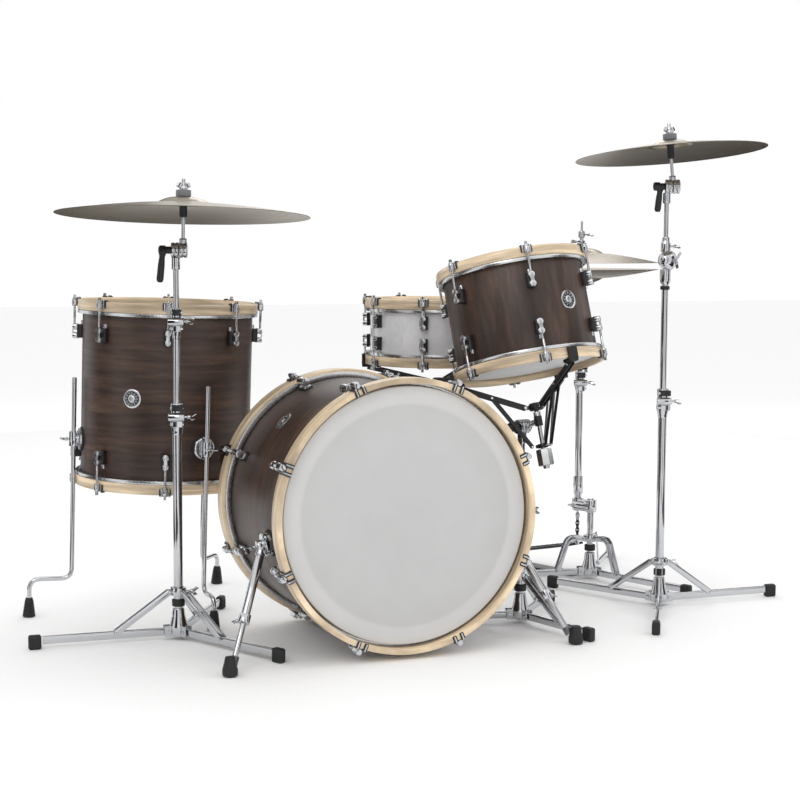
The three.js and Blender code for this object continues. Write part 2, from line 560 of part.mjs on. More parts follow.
bassDrum();
spur(-1);
spur(1);
floorTom();
rackTom();
snare();
basketStand("tom_stand", TOM_STAND, RACK_TOM);
basketStand("snare_stand", SNARE_STAND, SNARE);
leftStand();
rightStand();
hiHat();

const bounds = new THREE.Box3().setFromObject(kit, true);
const middle = bounds.getCenter(new THREE.Vector3());
kit.position.set(-middle.x, -middle.y, -bounds.min.z);

export default kit;
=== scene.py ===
# %% [markdown]
# # An acoustic drum kit, dressed
# This lesson puts the real surfaces round that frame: smooth lathed shells, bent maple hoops,
# chromed hardware and hammered-thin bronze. All lengths are in metres, in the frame's own
# coordinates.

# %% Load the frame
import json
from math import atan2, cos, pi, radians, sin

import bmesh
import bpy
from mathutils import Matrix, Vector


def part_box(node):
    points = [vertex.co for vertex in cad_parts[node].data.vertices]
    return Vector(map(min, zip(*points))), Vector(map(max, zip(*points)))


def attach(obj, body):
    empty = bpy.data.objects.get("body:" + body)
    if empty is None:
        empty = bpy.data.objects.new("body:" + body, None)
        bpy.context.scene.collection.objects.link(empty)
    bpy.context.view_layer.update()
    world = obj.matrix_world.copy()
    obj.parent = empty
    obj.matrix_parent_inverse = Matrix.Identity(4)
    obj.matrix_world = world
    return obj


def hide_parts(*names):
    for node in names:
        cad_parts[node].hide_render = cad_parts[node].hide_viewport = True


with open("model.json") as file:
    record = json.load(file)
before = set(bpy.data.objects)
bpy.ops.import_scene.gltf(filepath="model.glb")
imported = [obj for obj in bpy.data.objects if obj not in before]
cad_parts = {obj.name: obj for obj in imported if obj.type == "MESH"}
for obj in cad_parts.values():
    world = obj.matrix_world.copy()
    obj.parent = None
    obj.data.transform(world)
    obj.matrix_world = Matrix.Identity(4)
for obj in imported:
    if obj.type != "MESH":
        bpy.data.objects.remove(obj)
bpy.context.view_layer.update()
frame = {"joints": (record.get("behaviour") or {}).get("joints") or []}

# %% [markdown]
# ## Where things are
# The frame knows the box of each of its nodes, so the middle of a tube's box is its pole and the
# middles of a drum's two hoops give the drum's axis.  Measuring beats typing: if the design moves,
# the dressing follows.

# %% Places measured from the frame
INCH = 0.0254
MM = 0.001


def centre(node):
    low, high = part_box(node)
    return (Vector(low) + Vector(high)) / 2


def pole(node):
    middle = centre(node)
    return Vector((middle.x, middle.y, 0))


def standing(origin, axis=(0, 0, 1)):
    """A frame at origin whose z axis points along axis, turned the shortest way."""
    turn = Vector((0, 0, 1)).rotation_difference(Vector(axis))
    return Matrix.Translation(origin) @ turn.to_matrix().to_4x4()


def turned(degrees):
    return Matrix.Rotation(radians(degrees), 4, "Z")


def moved(x, y, z):
    return Matrix.Translation((x, y, z))


LEFT_POLE = pole("left_stand_middle_tube")
RIGHT_POLE = pole("right_stand_tube")
PLAN = LEFT_POLE - Vector((-420 * MM, 359 * MM, 0))  # the floor below the bass drum's front hoop
print("plan zero", [round(v, 4) for v in PLAN])

# %% [markdown]
# ## Shapes as plain data
# A drum kit is mostly turned work, so one function that revolves an outline makes most of it.  Bent
# rods and straps are sections swept along a path, and castings are blocks with softened edges.
# Blender's modifiers could do the same, but plain lists of points are quick to build, easy to combine
# into one casting, and always close properly.

# %% Turned shapes
FINE = 128  # steps round a drum or cymbal
MEDIUM = 40  # steps round a tube
SMALL = 20  # steps round a screw
AXIS = 1e-6


def softened(outline, edge):
    """Rounds the corners of an outline with three points each; points on the axis stay."""
    count = len(outline)
    closed = outline[0][0] > AXIS
    points = []
    for i, corner in enumerate(outline):
        if not closed and i in (0, count - 1):
            points.append(tuple(corner))
            continue
        here = Vector(corner)
        back = Vector(outline[i - 1]) - here
        ahead = Vector(outline[(i + 1) % count]) - here
        reach = min(edge, back.length * 0.45, ahead.length * 0.45)
        start = here + back.normalized() * reach
        end = here + ahead.normalized() * reach
        points += [tuple(start), tuple((start + end + 2 * here) / 4), tuple(end)]
    return points


def revolve(outline, steps=MEDIUM):
    """Turns a (radius, height) outline about z; it starts and ends on the axis, or closes on itself."""
    verts, rows, faces = [], [], []
    for radius, height in outline:
        count = steps if radius > AXIS else 1
        rows.append([len(verts) + i for i in range(count)])
        turns = [2 * pi * i / steps for i in range(count)]
        verts += [(radius * cos(t), radius * sin(t), height) for t in turns]
    if outline[0][0] > AXIS:
        rows.append(rows[0])
    for low, high in zip(rows, rows[1:]):
        for i in range(steps):
            j = (i + 1) % steps
            corners = [low[i % len(low)], low[j % len(low)], high[j % len(high)], high[i % len(high)]]
            face = list(dict.fromkeys(corners))
            if len(face) > 2:
                faces.append(face)
    return verts, faces


def rod(radius, low, high, edge=0.6 * MM, steps=SMALL):
    return revolve(softened([(0, low), (radius, low), (radius, high), (0, high)], edge), steps)


def pipe(outer, inner, low, high, edge=0.5 * MM, steps=MEDIUM):
    return revolve(softened([(inner, low), (outer, low), (outer, high), (inner, high)], edge), steps)


def dome(radius, low, high, crown, steps=MEDIUM):
    """A turned button: straight sides, then a quarter-round crown."""
    arc = [(radius * cos(a), high - crown + crown * sin(a)) for a in [radians(15 * k) for k in range(6)]]
    return revolve([(0, low), (radius, low), *arc, (0, high)], steps)


# %% Blocks and swept bars
def rounded_rectangle(width, height, corner):
    points = []
    for quarter, (sx, sy) in enumerate(((1, 1), (-1, 1), (-1, -1), (1, -1))):
        for step in range(4):
            turn = pi / 2 * quarter + pi / 6 * step
            points.append((sx * (width / 2 - corner) + corner * cos(turn),
                           sy * (height / 2 - corner) + corner * sin(turn)))
    return points


def block(x, y, z, corner=1.5 * MM, edge=0.6 * MM):
    """A casting standing about the origin: rounded upright corners and softened top and bottom."""
    corner = min(corner, x * 0.45, y * 0.45)
    edge = min(edge, z * 0.3, corner * 0.9)
    layers = [(-z / 2, edge), (-z / 2 + edge, 0), (z / 2 - edge, 0), (z / 2, edge)]
    rings = [[(px, py, height) for px, py in rounded_rectangle(x - 2 * inset, y - 2 * inset, corner - inset)]
             for height, inset in layers]
    return skinned(rings)


def skinned(rings):
    """Joins equal rings of points into one closed skin, capped at both ends."""
    count = len(rings[0])
    verts = [point for ring in rings for point in ring]
    faces = [[r * count + i, r * count + (i + 1) % count, (r + 1) * count + (i + 1) % count,
              (r + 1) * count + i]
             for r in range(len(rings) - 1) for i in range(count)]
    last = (len(rings) - 1) * count
    faces += [list(range(count))[::-1], [last + i for i in range(count)]]
    return verts, faces


def circle(radius, steps=16):
    return [(radius * cos(2 * pi * i / steps), radius * sin(2 * pi * i / steps)) for i in range(steps)]


def bent(points, radius, steps=6):
    """A path with each inner corner replaced by a smooth bend."""
    path = [Vector(points[0])]
    for before, corner, after in zip(points, points[1:], points[2:]):
        corner = Vector(corner)
        back, ahead = Vector(before) - corner, Vector(after) - corner
        reach = min(radius, back.length * 0.45, ahead.length * 0.45)
        start, end = corner + back.normalized() * reach, corner + ahead.normalized() * reach
        for k in range(steps + 1):
            t = k / steps
            path.append(start * (1 - t) ** 2 + corner * 2 * t * (1 - t) + end * t * t)
    return path + [Vector(points[-1])]


def sweep(points, section, up=(0, 0, 1)):
    """Carries a section along a path; up says which way the section's second coordinate points."""
    path = [Vector(p) for p in points]
    rings = []
    for i, here in enumerate(path):
        along = (path[min(i + 1, len(path) - 1)] - path[max(i - 1, 0)]).normalized()
        side = along.cross(Vector(up)).normalized()
        rise = side.cross(along)
        rings.append([tuple(here + side * a + rise * b) for a, b in section])
    return skinned(rings)


def wire(points, radius, steps=16, up=(0.013, 0.021, 1)):
    return sweep(points, circle(radius, steps), up)


def strap(points, width, thick, up=(0, 0, 1)):
    return sweep(points, rounded_rectangle(thick, width, thick * 0.3), up)


def put(shape, matrix):
    verts, faces = shape
    return [tuple(matrix @ Vector(v)) for v in verts], faces


def aim(shape, start, end):
    """Stands a shape made along z on the line from start towards end."""
    return put(shape, standing(start, Vector(end) - Vector(start)))


# %% One call that makes a finished piece
def make(name, parts, body, place=Matrix(), replaces=()):
    """Builds one object from (shape, material) pairs, in the frame `place`, riding on a body."""
    mesh = bpy.data.meshes.new(name)
    work = bmesh.new()
    materials = list(dict.fromkeys(material for _, material in parts))
    for (verts, faces), material in parts:
        points = [work.verts.new(v) for v in verts]
        for face in faces:
            work.faces.new([points[i] for i in face]).material_index = materials.index(material)
    bmesh.ops.recalc_face_normals(work, faces=work.faces)
    work.to_mesh(mesh)
    work.free()
    for material in materials:
        mesh.materials.append(material)
    mesh.shade_smooth()
    mesh.set_sharp_from_angle(angle=radians(38))
    piece = bpy.data.objects.new(name, mesh)
    return settle(piece, body, place, replaces)


def settle(piece, body, place, replaces=()):
    bpy.context.scene.collection.objects.link(piece)
    piece.matrix_world = place
    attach(piece, body)
    if replaces:
        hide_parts(*replaces)
    return piece


def again(name, pattern, body, place):
    """Another of the same piece, sharing its mesh, as parts from one mould do."""
    return settle(bpy.data.objects.new(name, pattern.data), body, place)


# %% [markdown]
# ## Camera, floor and light
# A long lens keeps the drums round. Dark boards that only the metal sees paint dark reflections into the
# chrome.

# %% Camera and studio
view = bpy.data.cameras.new("camera")
view.lens = 74.51
view.clip_end = 60
camera = bpy.data.objects.new("camera", view)
bpy.context.scene.collection.objects.link(camera)
camera.location = PLAN + Vector((-1.321, -3.254, 0.890))
look = Matrix.Rotation(radians(-21.71), 4, "Z") @ Matrix.Rotation(radians(90 - 5.32), 4, "X")
camera.rotation_euler = (look @ Matrix.Rotation(radians(0.28), 4, "Z")).to_euler()
bpy.context.scene.camera = camera
bpy.context.scene.view_settings.view_transform = "Standard"


def node(tree, kind, sockets=(), **settings):
    """Adds a shader node; a socket given another node's output is linked, any other value is set."""
    made = tree.nodes.new("ShaderNode" + kind)
    for key, value in settings.items():
        setattr(made, key, value)
    for key, value in dict(sockets).items():
        if isinstance(value, bpy.types.NodeSocket):
            tree.links.new(value, made.inputs[key])
        else:
            made.inputs[key].default_value = value
    return made


def finish(name, colour, roughness, **sockets):
    """A new material and the tree and shader to build its detail on."""
    material = bpy.data.materials.new(name)
    material.use_nodes = True
    tree = material.node_tree
    shader = tree.nodes["Principled BSDF"]
    shader.inputs["Base Color"].default_value = (*colour, 1)
    shader.inputs["Roughness"].default_value = roughness
    for key, value in sockets.items():
        shader.inputs[key.replace("_", " ")].default_value = value
    return material, tree, shader


def spread(tree, scale):
    """Object coordinates stretched by scale: a big number packs the pattern tightly that way."""
    coords = node(tree, "TexCoord").outputs["Object"]
    return node(tree, "Mapping", {"Vector": coords, "Scale": scale}).outputs["Vector"]


def noise(tree, scale, detail=3.0, rough=0.5):
    return node(tree, "TexNoise", {"Vector": spread(tree, scale), "Scale": 1.0, "Detail": detail,
                                   "Roughness": rough}).outputs["Fac"]


def ramp(tree, factor, stops):
    made = node(tree, "ValToRGB", {"Fac": factor})
    elements = made.color_ramp.elements
    while len(elements) < len(stops):
        elements.new(0.5)
    for element, (position, colour) in zip(elements, stops):
        element.position = position
        element.color = (*colour, 1) if isinstance(colour, tuple) else (colour, colour, colour, 1)
    return made.outputs["Color"]


def blend(tree, factor, first, second, mode="MIX"):
    made = node(tree, "MixRGB", {"Fac": factor, "Color1": first, "Color2": second}, blend_type=mode)
    return made.outputs["Color"]


def bump(tree, shader, height, depth):
    raised = node(tree, "Bump", {"Height": height, "Distance": depth, "Strength": 1.0})
    tree.links.new(raised.outputs["Normal"], shader.inputs["Normal"])


def floor_and_light():
    """A pale paper floor, a white world and four large soft lamps."""
    paper, tree, shader = finish("studio_floor", (0.94, 0.94, 0.94), 0.7)
    grain = noise(tree, (90, 90, 90), 5)
    tree.links.new(ramp(tree, grain, [(0.2, 0.92), (0.8, 0.96)]), shader.inputs["Base Color"])
    bpy.ops.mesh.primitive_plane_add(size=40)
    floor = bpy.context.object
    floor.name = "floor"
    floor.data.materials.append(paper)
    world = bpy.data.worlds.new("studio")
    bpy.context.scene.world = world
    world.use_nodes = True
    world.node_tree.nodes["Background"].inputs["Color"].default_value = (1, 1, 1, 1)
    world.node_tree.nodes["Background"].inputs["Strength"].default_value = WORLD_LIGHT
    for name, place, size, power in STUDIO_LIGHTS:
        lamp = bpy.data.lights.new(name, "AREA")
        lamp.shape, lamp.size, lamp.size_y, lamp.energy = "RECTANGLE", size[0], size[1], power
        light = bpy.data.objects.new(name, lamp)
        light.location = place
        light.rotation_euler = (Vector((0, 0, 0.6)) - Vector(place)).to_track_quat("-Z", "Y").to_euler()
        bpy.context.scene.collection.objects.link(light)


def painted_reflection_boards():
    """Painted reflections: dark boards that only the metal sees, upright and on the floor, stripe the chromed
    tubes.
    """
    board, _, _ = finish("painted_reflection_board", (0.012, 0.012, 0.014), 0.9)
    for turn, width in PAINTED_REFLECTION_BOARDS:
        heading = radians(turn - 21.71)
        upright = (-4.2, 1.5, (width, 0.02, 3.0))
        flat = (-2.8, 0.004, (width * 0.62, 2.8, 0.002))
        for kind, (away, level, size) in (("tall", upright), ("flat", flat)):
            spot = Matrix.Rotation(heading, 3, "Z") @ Vector((0, away, level))
            bpy.ops.mesh.primitive_cube_add(size=1, location=spot, rotation=(0, 0, heading))
            card = bpy.context.object
            card.name = f"card_{turn + 180}_{kind}"
            card.scale = size
            card.data.materials.append(board)
            # hidden from the camera, diffuse light and shadows: the boards only paint dark reflections into
            # the metal
            card.visible_camera = card.visible_diffuse = card.visible_shadow = False


WORLD_LIGHT = 1.0
# each painted-reflection board's bearing from the camera, and its width
PAINTED_REFLECTION_BOARDS = [(-30, 2.2), (-88, 2.4), (24, 0.7), (78, 2.4), (150, 2.0), (-150, 2.0)]
STUDIO_LIGHTS = [
    ("key", (-3.2, -3.4, 3.6), (2.4, 2.4), 45),
    ("fill", (3.6, -3.0, 2.2), (1.2, 3.0), 15),
    ("rim", (2.0, 3.4, 3.4), (3.0, 1.0), 30),
    ("top", (0, 0, 4.6), (3.0, 3.0), 22),
]
floor_and_light()
painted_reflection_boards()

# %% [markdown]
# ## Walnut-stained shells
# The shells are birch and poplar ply with a wide-figured face veneer, stained walnut brown and sealed
# satin.  Three layers of noise build it: broad clouds for the stain, long fibres along the grain, and
# short dark pores that also dent the surface.  On the bass drum and floor tom the grain runs round
# the shell, on the rack tom it stands upright.

# %% Wood
def wood(name, long, dark, mid, light, pores=0.62, roughness=(0.36, 0.5), coat=0.12):
    """Wood in a drum's own coordinates; long says how tightly the fibres pack along x, y and z."""
    material, tree, shader = finish(name, mid, 0.4, Coat_Weight=coat, Coat_Roughness=0.3)
    clouds = noise(tree, tuple(s * 0.16 + 3 for s in long), 4, 0.6)
    fibres = noise(tree, long, 6, 0.62)
    short = noise(tree, tuple(s * 3.2 for s in long), 3, 0.7)
    figure = ramp(tree, fibres, [(0.3, dark), (0.5, mid), (0.72, light)])
    stain = ramp(tree, clouds, [(0.32, 0.4), (0.5, 0.8), (0.66, 1.3)])
    stained = blend(tree, 0.85, figure, stain, "MULTIPLY")
    pore = ramp(tree, short, [(0.3, pores), (0.42, 1.0)])
    tree.links.new(blend(tree, 1.0, stained, pore, "MULTIPLY"), shader.inputs["Base Color"])
    tree.links.new(ramp(tree, clouds, [(0.3, roughness[0]), (0.7, roughness[1])]), shader.inputs["Roughness"])
    bump(tree, shader, blend(tree, 0.5, fibres, pore), 0.12 * MM)
    return material


DARK, MID, LIGHT = (0.022, 0.010, 0.006), (0.050, 0.0245, 0.015), (0.092, 0.048, 0.029)
WALNUT_ROUND = wood("walnut_round_grain", (6, 6, 80), DARK, MID, LIGHT)
WALNUT_UPRIGHT = wood("walnut_upright_grain", (48, 48, 7), DARK, MID, LIGHT)
PLY = wood("shell_inside", (9, 9, 160), (0.30, 0.19, 0.10), (0.42, 0.28, 0.16), (0.52, 0.37, 0.22), 0.8)
MAPLE = wood("maple_hoop", (9, 9, 420), (0.62, 0.47, 0.30), (0.74, 0.58, 0.39), (0.82, 0.67, 0.48), 0.93,
             (0.3, 0.42), 0.25)

# %% [markdown]
# ## Metals, film, rubber and felt
# Chrome is nearly a mirror, so its detail is faint: a haze of fingerprints in the roughness.  Bronze
# carries the lathe's fine circles.  Rubber, felt and powder coat get their grain from dense noise.

# %% Metals
def chrome(name, colour, low, high):
    material, tree, shader = finish(name, colour, low, Metallic=1.0)
    haze = noise(tree, (38, 38, 38), 5, 0.65)
    tree.links.new(ramp(tree, haze, [(0.35, low), (0.75, high)]), shader.inputs["Roughness"])
    tint = ramp(tree, noise(tree, (9, 9, 9)), [(0.2, tuple(c * 0.93 for c in colour)), (0.8, colour)])
    tree.links.new(tint, shader.inputs["Base Color"])
    return material


CHROME = chrome("chrome", (0.60, 0.61, 0.63), 0.07, 0.17)
STEEL = chrome("flesh_hoop_steel", (0.70, 0.71, 0.72), 0.22, 0.34)
# dark steel for the badge ring and spur collars, and also the painted shade inside the hi-hat braces' holes
DARK_STEEL_AND_HOLE_SHADE = chrome("dark_steel_and_painted_hole_shade", (0.16, 0.16, 0.17), 0.2, 0.35)


def lathed_bronze(name, colour, edge_colour, rim):
    """Rings cut by the lathe: noise read along the radius only, so it comes out as circles."""
    material, tree, shader = finish(name, colour, 0.3, Metallic=1.0, Anisotropic=0.35)
    coords = node(tree, "TexCoord").outputs["Object"]
    axes = node(tree, "SeparateXYZ", {"Vector": coords}).outputs
    flat = node(tree, "CombineXYZ", {"X": axes["X"], "Y": axes["Y"]}).outputs["Vector"]
    radius = node(tree, "VectorMath", {0: flat}, operation="LENGTH").outputs["Value"]
    line = node(tree, "CombineXYZ", {"X": radius}).outputs["Vector"]
    grooves = node(tree, "TexNoise", {"Vector": line, "Scale": 900.0, "Detail": 4.0}).outputs["Fac"]
    bands = node(tree, "TexNoise", {"Vector": line, "Scale": 55.0, "Detail": 3.0}).outputs["Fac"]
    worn = noise(tree, (7, 7, 7), 5, 0.6)
    toned = blend(tree, 0.5, ramp(tree, bands, [(0.3, edge_colour), (0.7, colour)]),
                  ramp(tree, worn, [(0.3, edge_colour), (0.7, colour)]))
    share = node(tree, "Math", {0: radius, 1: rim}, operation="DIVIDE").outputs["Value"]
    bell = ramp(tree, share, [(0.0, 0.72), (0.16, 0.9), (0.24, 1.0), (0.97, 1.0), (1.0, 0.8)])
    tree.links.new(blend(tree, 1.0, toned, bell, "MULTIPLY"), shader.inputs["Base Color"])
    tree.links.new(ramp(tree, grooves, [(0.25, 0.22), (0.75, 0.42)]), shader.inputs["Roughness"])
    bump(tree, shader, grooves, 0.05 * MM)
    return material


# %% Film, rubber, felt, powder coat and pearl
def grained(name, dark, light, scale, depth, roughness, **sockets):
    material, tree, shader = finish(name, light, roughness, **sockets)
    grain = noise(tree, (scale, scale, scale), 5, 0.7)
    patches = noise(tree, (scale / 22, scale / 22, scale / 22), 3)
    colour = blend(tree, 0.5, ramp(tree, grain, [(0.3, dark), (0.7, light)]),
                   ramp(tree, patches, [(0.3, dark), (0.7, light)]))
    tree.links.new(colour, shader.inputs["Base Color"])
    tree.links.new(ramp(tree, patches, [(0.3, roughness * 0.85), (0.7, roughness * 1.12)]),
                   shader.inputs["Roughness"])
    bump(tree, shader, grain, depth)
    return material


RUBBER = grained("black_rubber", (0.006, 0.006, 0.006), (0.016, 0.016, 0.016), 700, 0.15 * MM, 0.62)
BLACK = grained("powder_coat", (0.008, 0.008, 0.009), (0.018, 0.018, 0.019), 1600, 0.05 * MM, 0.36)
FELT = grained("grey_felt", (0.10, 0.10, 0.11), (0.24, 0.24, 0.25), 900, 0.5 * MM, 0.95, Sheen_Weight=0.4)
COATED = grained("coated_film", (0.66, 0.67, 0.68), (0.75, 0.76, 0.77), 1400, 0.03 * MM, 0.5)
PEARL = grained("white_pearl_wrap", (0.62, 0.62, 0.64), (0.80, 0.80, 0.80), 60, 0.01 * MM, 0.28,
                Coat_Weight=0.6)


def ringed_film(name, rim):
    """The bass drum's front head: satin film with a paler damping ring just inside the hoop."""
    material, tree, shader = finish(name, (0.7, 0.71, 0.72), 0.42, Coat_Weight=0.1)
    coords = node(tree, "TexCoord").outputs["Object"]
    axes = node(tree, "SeparateXYZ", {"Vector": coords}).outputs
    flat = node(tree, "CombineXYZ", {"X": axes["X"], "Y": axes["Y"]}).outputs["Vector"]
    radius = node(tree, "VectorMath", {0: flat}, operation="LENGTH").outputs["Value"]
    share = node(tree, "Math", {0: radius, 1: rim}, operation="DIVIDE").outputs["Value"]
    rings = ramp(tree, share,
                 [(0.0, 0.50), (0.6, 0.52), (0.83, 0.51), (0.86, 0.59), (0.97, 0.61), (1.0, 0.42)])
    mottle = ramp(tree, noise(tree, (16, 16, 16), 5), [(0.3, 0.96), (0.7, 1.0)])
    tree.links.new(blend(tree, 1.0, rings, mottle, "MULTIPLY"), shader.inputs["Base Color"])
    bump(tree, shader, noise(tree, (1200, 1200, 1200), 3), 0.015 * MM)
    return material


RESONANT = ringed_film("bass_front_film", 286 * MM)
print("materials:", len(bpy.data.materials))

# %% [markdown]
# ## Tension hardware
# A drum is tuned by rods that pull a wooden hoop down over the head.  Each rod screws into a lug on
# the shell and hangs from a claw whose two hooks reach over the hoop.  One set of each is made in its
# own small frame (x out of the shell, z towards the nearer hoop) and then repeated round the drum,
# because real ones come out of one mould.

# %% Lug, tension rod and claw
HOOP_RISE = 24 * MM
HOOP_CLEAR = 3.9 * MM
HOOP_WALL = 8.5 * MM
OUTWARD = Matrix.Rotation(pi / 2, 4, "Y")  # stands z shapes along x
FLIPPED = Matrix.Diagonal((1, -1, -1, 1))


def tom_lug():
    """A black block carrying two chromed barrels, faced by a satin plate of two round lobes."""
    parts = [(put(block(14 * MM, 20 * MM, 32 * MM, 3 * MM), moved(6 * MM, 0, 0)), BLACK)]
    for z in (10.5 * MM, -10.5 * MM):
        spot = moved(0, 0, z) @ OUTWARD
        parts.append((put(rod(7.6 * MM, 8 * MM, 22.6 * MM, 0.7 * MM, MEDIUM), spot), CHROME))
        parts.append((put(rod(6.9 * MM, 21 * MM, 24.4 * MM, 0.7 * MM, MEDIUM), spot), STEEL))
    waist = put(block(20 * MM, 8.4 * MM, 2.6 * MM, 1 * MM), moved(22.9 * MM, 0, 0) @ OUTWARD)
    return [*parts, (waist, STEEL), (rod(4.4 * MM, 9 * MM, 26 * MM), CHROME)]


def bass_lug():
    """A long barrel lying along the drum on two feet, over a dark gasket."""
    gasket = put(block(56 * MM, 24 * MM, 2.6 * MM, 10 * MM), moved(1 * MM, 0, 0) @ OUTWARD)
    base = put(block(48 * MM, 18 * MM, 5 * MM, 8 * MM), moved(4 * MM, 0, 0) @ OUTWARD)
    barrel = revolve(softened([(0, -23 * MM), (9.5 * MM, -23 * MM), (9.5 * MM, -13 * MM),
                               (8.2 * MM, -11 * MM),
                               (8.2 * MM, 11 * MM), (9.5 * MM, 13 * MM), (9.5 * MM, 23 * MM), (0, 23 * MM)],
                              1.5 * MM))
    feet = [(put(rod(6 * MM, 3 * MM, 16 * MM), moved(0, 0, z) @ OUTWARD), CHROME) for z in (-14 * MM,
                                                                                            14 * MM)]
    return [(gasket, RUBBER), (base, CHROME), (put(barrel, moved(17 * MM, 0, 0)), CHROME), *feet]


def tension_rod(out, start, end):
    """A threaded rod with washer, collar and the square head that a drum key turns."""
    thread = [(0, 0), (2.5 * MM, 0)]
    for k in range(12):
        thread += [(2.9 * MM, (1.5 * k + 0.7) * MM), (2.4 * MM, (1.5 * k + 1.5) * MM)]
    shank = end - start
    thread += [(2.9 * MM, 19 * MM), (2.9 * MM, shank), (0, shank)]
    head = [(rod(6 * MM, end, end + 1.6 * MM), STEEL),
            (dome(5 * MM, end + 1.6 * MM, end + 5 * MM, 1.5 * MM), CHROME)]
    key = put(block(6 * MM, 6 * MM, 7 * MM, 1 * MM), moved(0, 0, end + 8 * MM))
    parts = [(put(revolve(thread, SMALL), moved(0, 0, start)), CHROME), *head, (key, CHROME)]
    return [(put(shape, moved(out, 0, 0)), material) for shape, material in parts]


def claw(out, hoop_in, hoop_out, end, depth, reach):
    """The claw's body rides on the rod; its two hooks reach over the hoop on black liners."""
    body_low = end - depth
    wide = 13 * MM
    thick = 2 * (out - hoop_out - 1 * MM)
    body = put(block(thick, wide, depth - 4 * MM, 3 * MM, 1.2 * MM),
               moved(out, 0, body_low + depth / 2 - 2 * MM))
    boss = put(rod(6.5 * MM, body_low - 3 * MM, end - 2 * MM, 1 * MM), moved(out, 0, 0))
    parts = [(body, CHROME), (boss, CHROME)]
    for side in (-1, 1):
        y = side * 8.8 * MM
        for lift, wide, material in ((1.5 * MM, 9.4 * MM, BLACK), (3.2 * MM, 3.4 * MM, CHROME)):
            skin, over = hoop_out + lift, end + lift
            route = bent([(skin, y, body_low), (skin, y, over), (hoop_in + reach, y, over)], 3 * MM)
            parts.append((strap(route, wide, 2 * MM, (0, 1, 0)), material))
        liner = block(hoop_out - hoop_in - reach + 2 * MM, 8.4 * MM, 1 * MM, 1 * MM, 0.3 * MM)
        parts.append((put(liner, moved((hoop_out + hoop_in + reach) / 2, y, end + 0.55 * MM)), RUBBER))
    return parts


def dress_with_tension(name, body, place, radius, length, lugs, first, inset, patterns):
    """Repeats lug, rod and claw round both ends of a drum."""
    made = {}
    for end, base in (("top", moved(0, 0, length - inset)), ("bottom", moved(0, 0, inset) @ FLIPPED)):
        for i in range(lugs):
            spot = place @ turned(first + i * 360 / lugs) @ moved(radius, 0, 0) @ base
            for kind, parts in patterns.items():
                label = f"{name}_{kind}_{end}_{i + 1}"
                if kind in made:
                    again(label, made[kind], body, spot)
                else:
                    made[kind] = make(label, parts, body, spot)
    print(name, "carries", 2 * lugs, "lugs")


# %% Badge: a plain rosette
def badge(name, body, place, radius, turn, height):
    """A domed silver disc with a dark ring and a rosette of twelve studs, and the vent in its middle."""
    face = revolve([(0, -2 * MM), (22 * MM, -2 * MM), (22 * MM, 0.9 * MM), (20.6 * MM, 1.7 * MM),
                    (19.6 * MM, 1.1 * MM),
                    (7 * MM, 1.5 * MM), (5.5 * MM, 2.4 * MM), (4 * MM, 2.2 * MM), (3.4 * MM, 0.6 * MM),
                    (0, 0.6 * MM)])
    band = pipe(17.5 * MM, 9.5 * MM, 0.4 * MM, 1.7 * MM, 0.2 * MM)
    parts = [(face, STEEL), (band, DARK_STEEL_AND_HOLE_SHADE)]
    for k in range(12):
        spot = turned(30 * k) @ moved(13.5 * MM, 0, 0)
        parts.append((put(block(4.6 * MM, 1.8 * MM, 1 * MM, 0.9 * MM, 0.3 * MM), spot @ moved(0, 0, 2 * MM)),
                      STEEL))
    make(name, [(put(shape, OUTWARD), material) for shape, material in parts], body,
         place @ turned(turn) @ moved(radius, 0, height))


# %% [markdown]
# ## Floor tom, rack tom and snare
# All three are the same construction at different sizes, so one function dresses them: shell, two
# heads with their steel flesh hoops, two bent maple hoops, and the tension hardware.

# %% A tom from its hoops
SHELL_WALL = 7 * MM
EDGE = 16 * MM  # from a hoop's lip down to the head's film
FILM = 0.8 * MM
SEAM = 0.4 * MM


def head(radius, outer, ring_top, roll):
    """Film with its rolled collar, and the flesh hoop below it; local z = 0 is the film's top."""
    skirt = radius + SEAM + FILM
    tuck = ring_top - 4 * MM
    film = [(0, 0), (skirt - roll, 0), (skirt - roll * 0.3, -roll * 0.3), (skirt, -roll), (skirt, tuck),
            (skirt - FILM, tuck), (skirt - FILM, -roll), (skirt - roll * 0.7, -FILM - roll * 0.3),
            (skirt - roll - FILM, -FILM), (0, -FILM)]
    flesh = pipe(outer, skirt + 0.1 * MM, ring_top - 8 * MM, ring_top, 1.4 * MM, FINE)
    return revolve(film, FINE), flesh


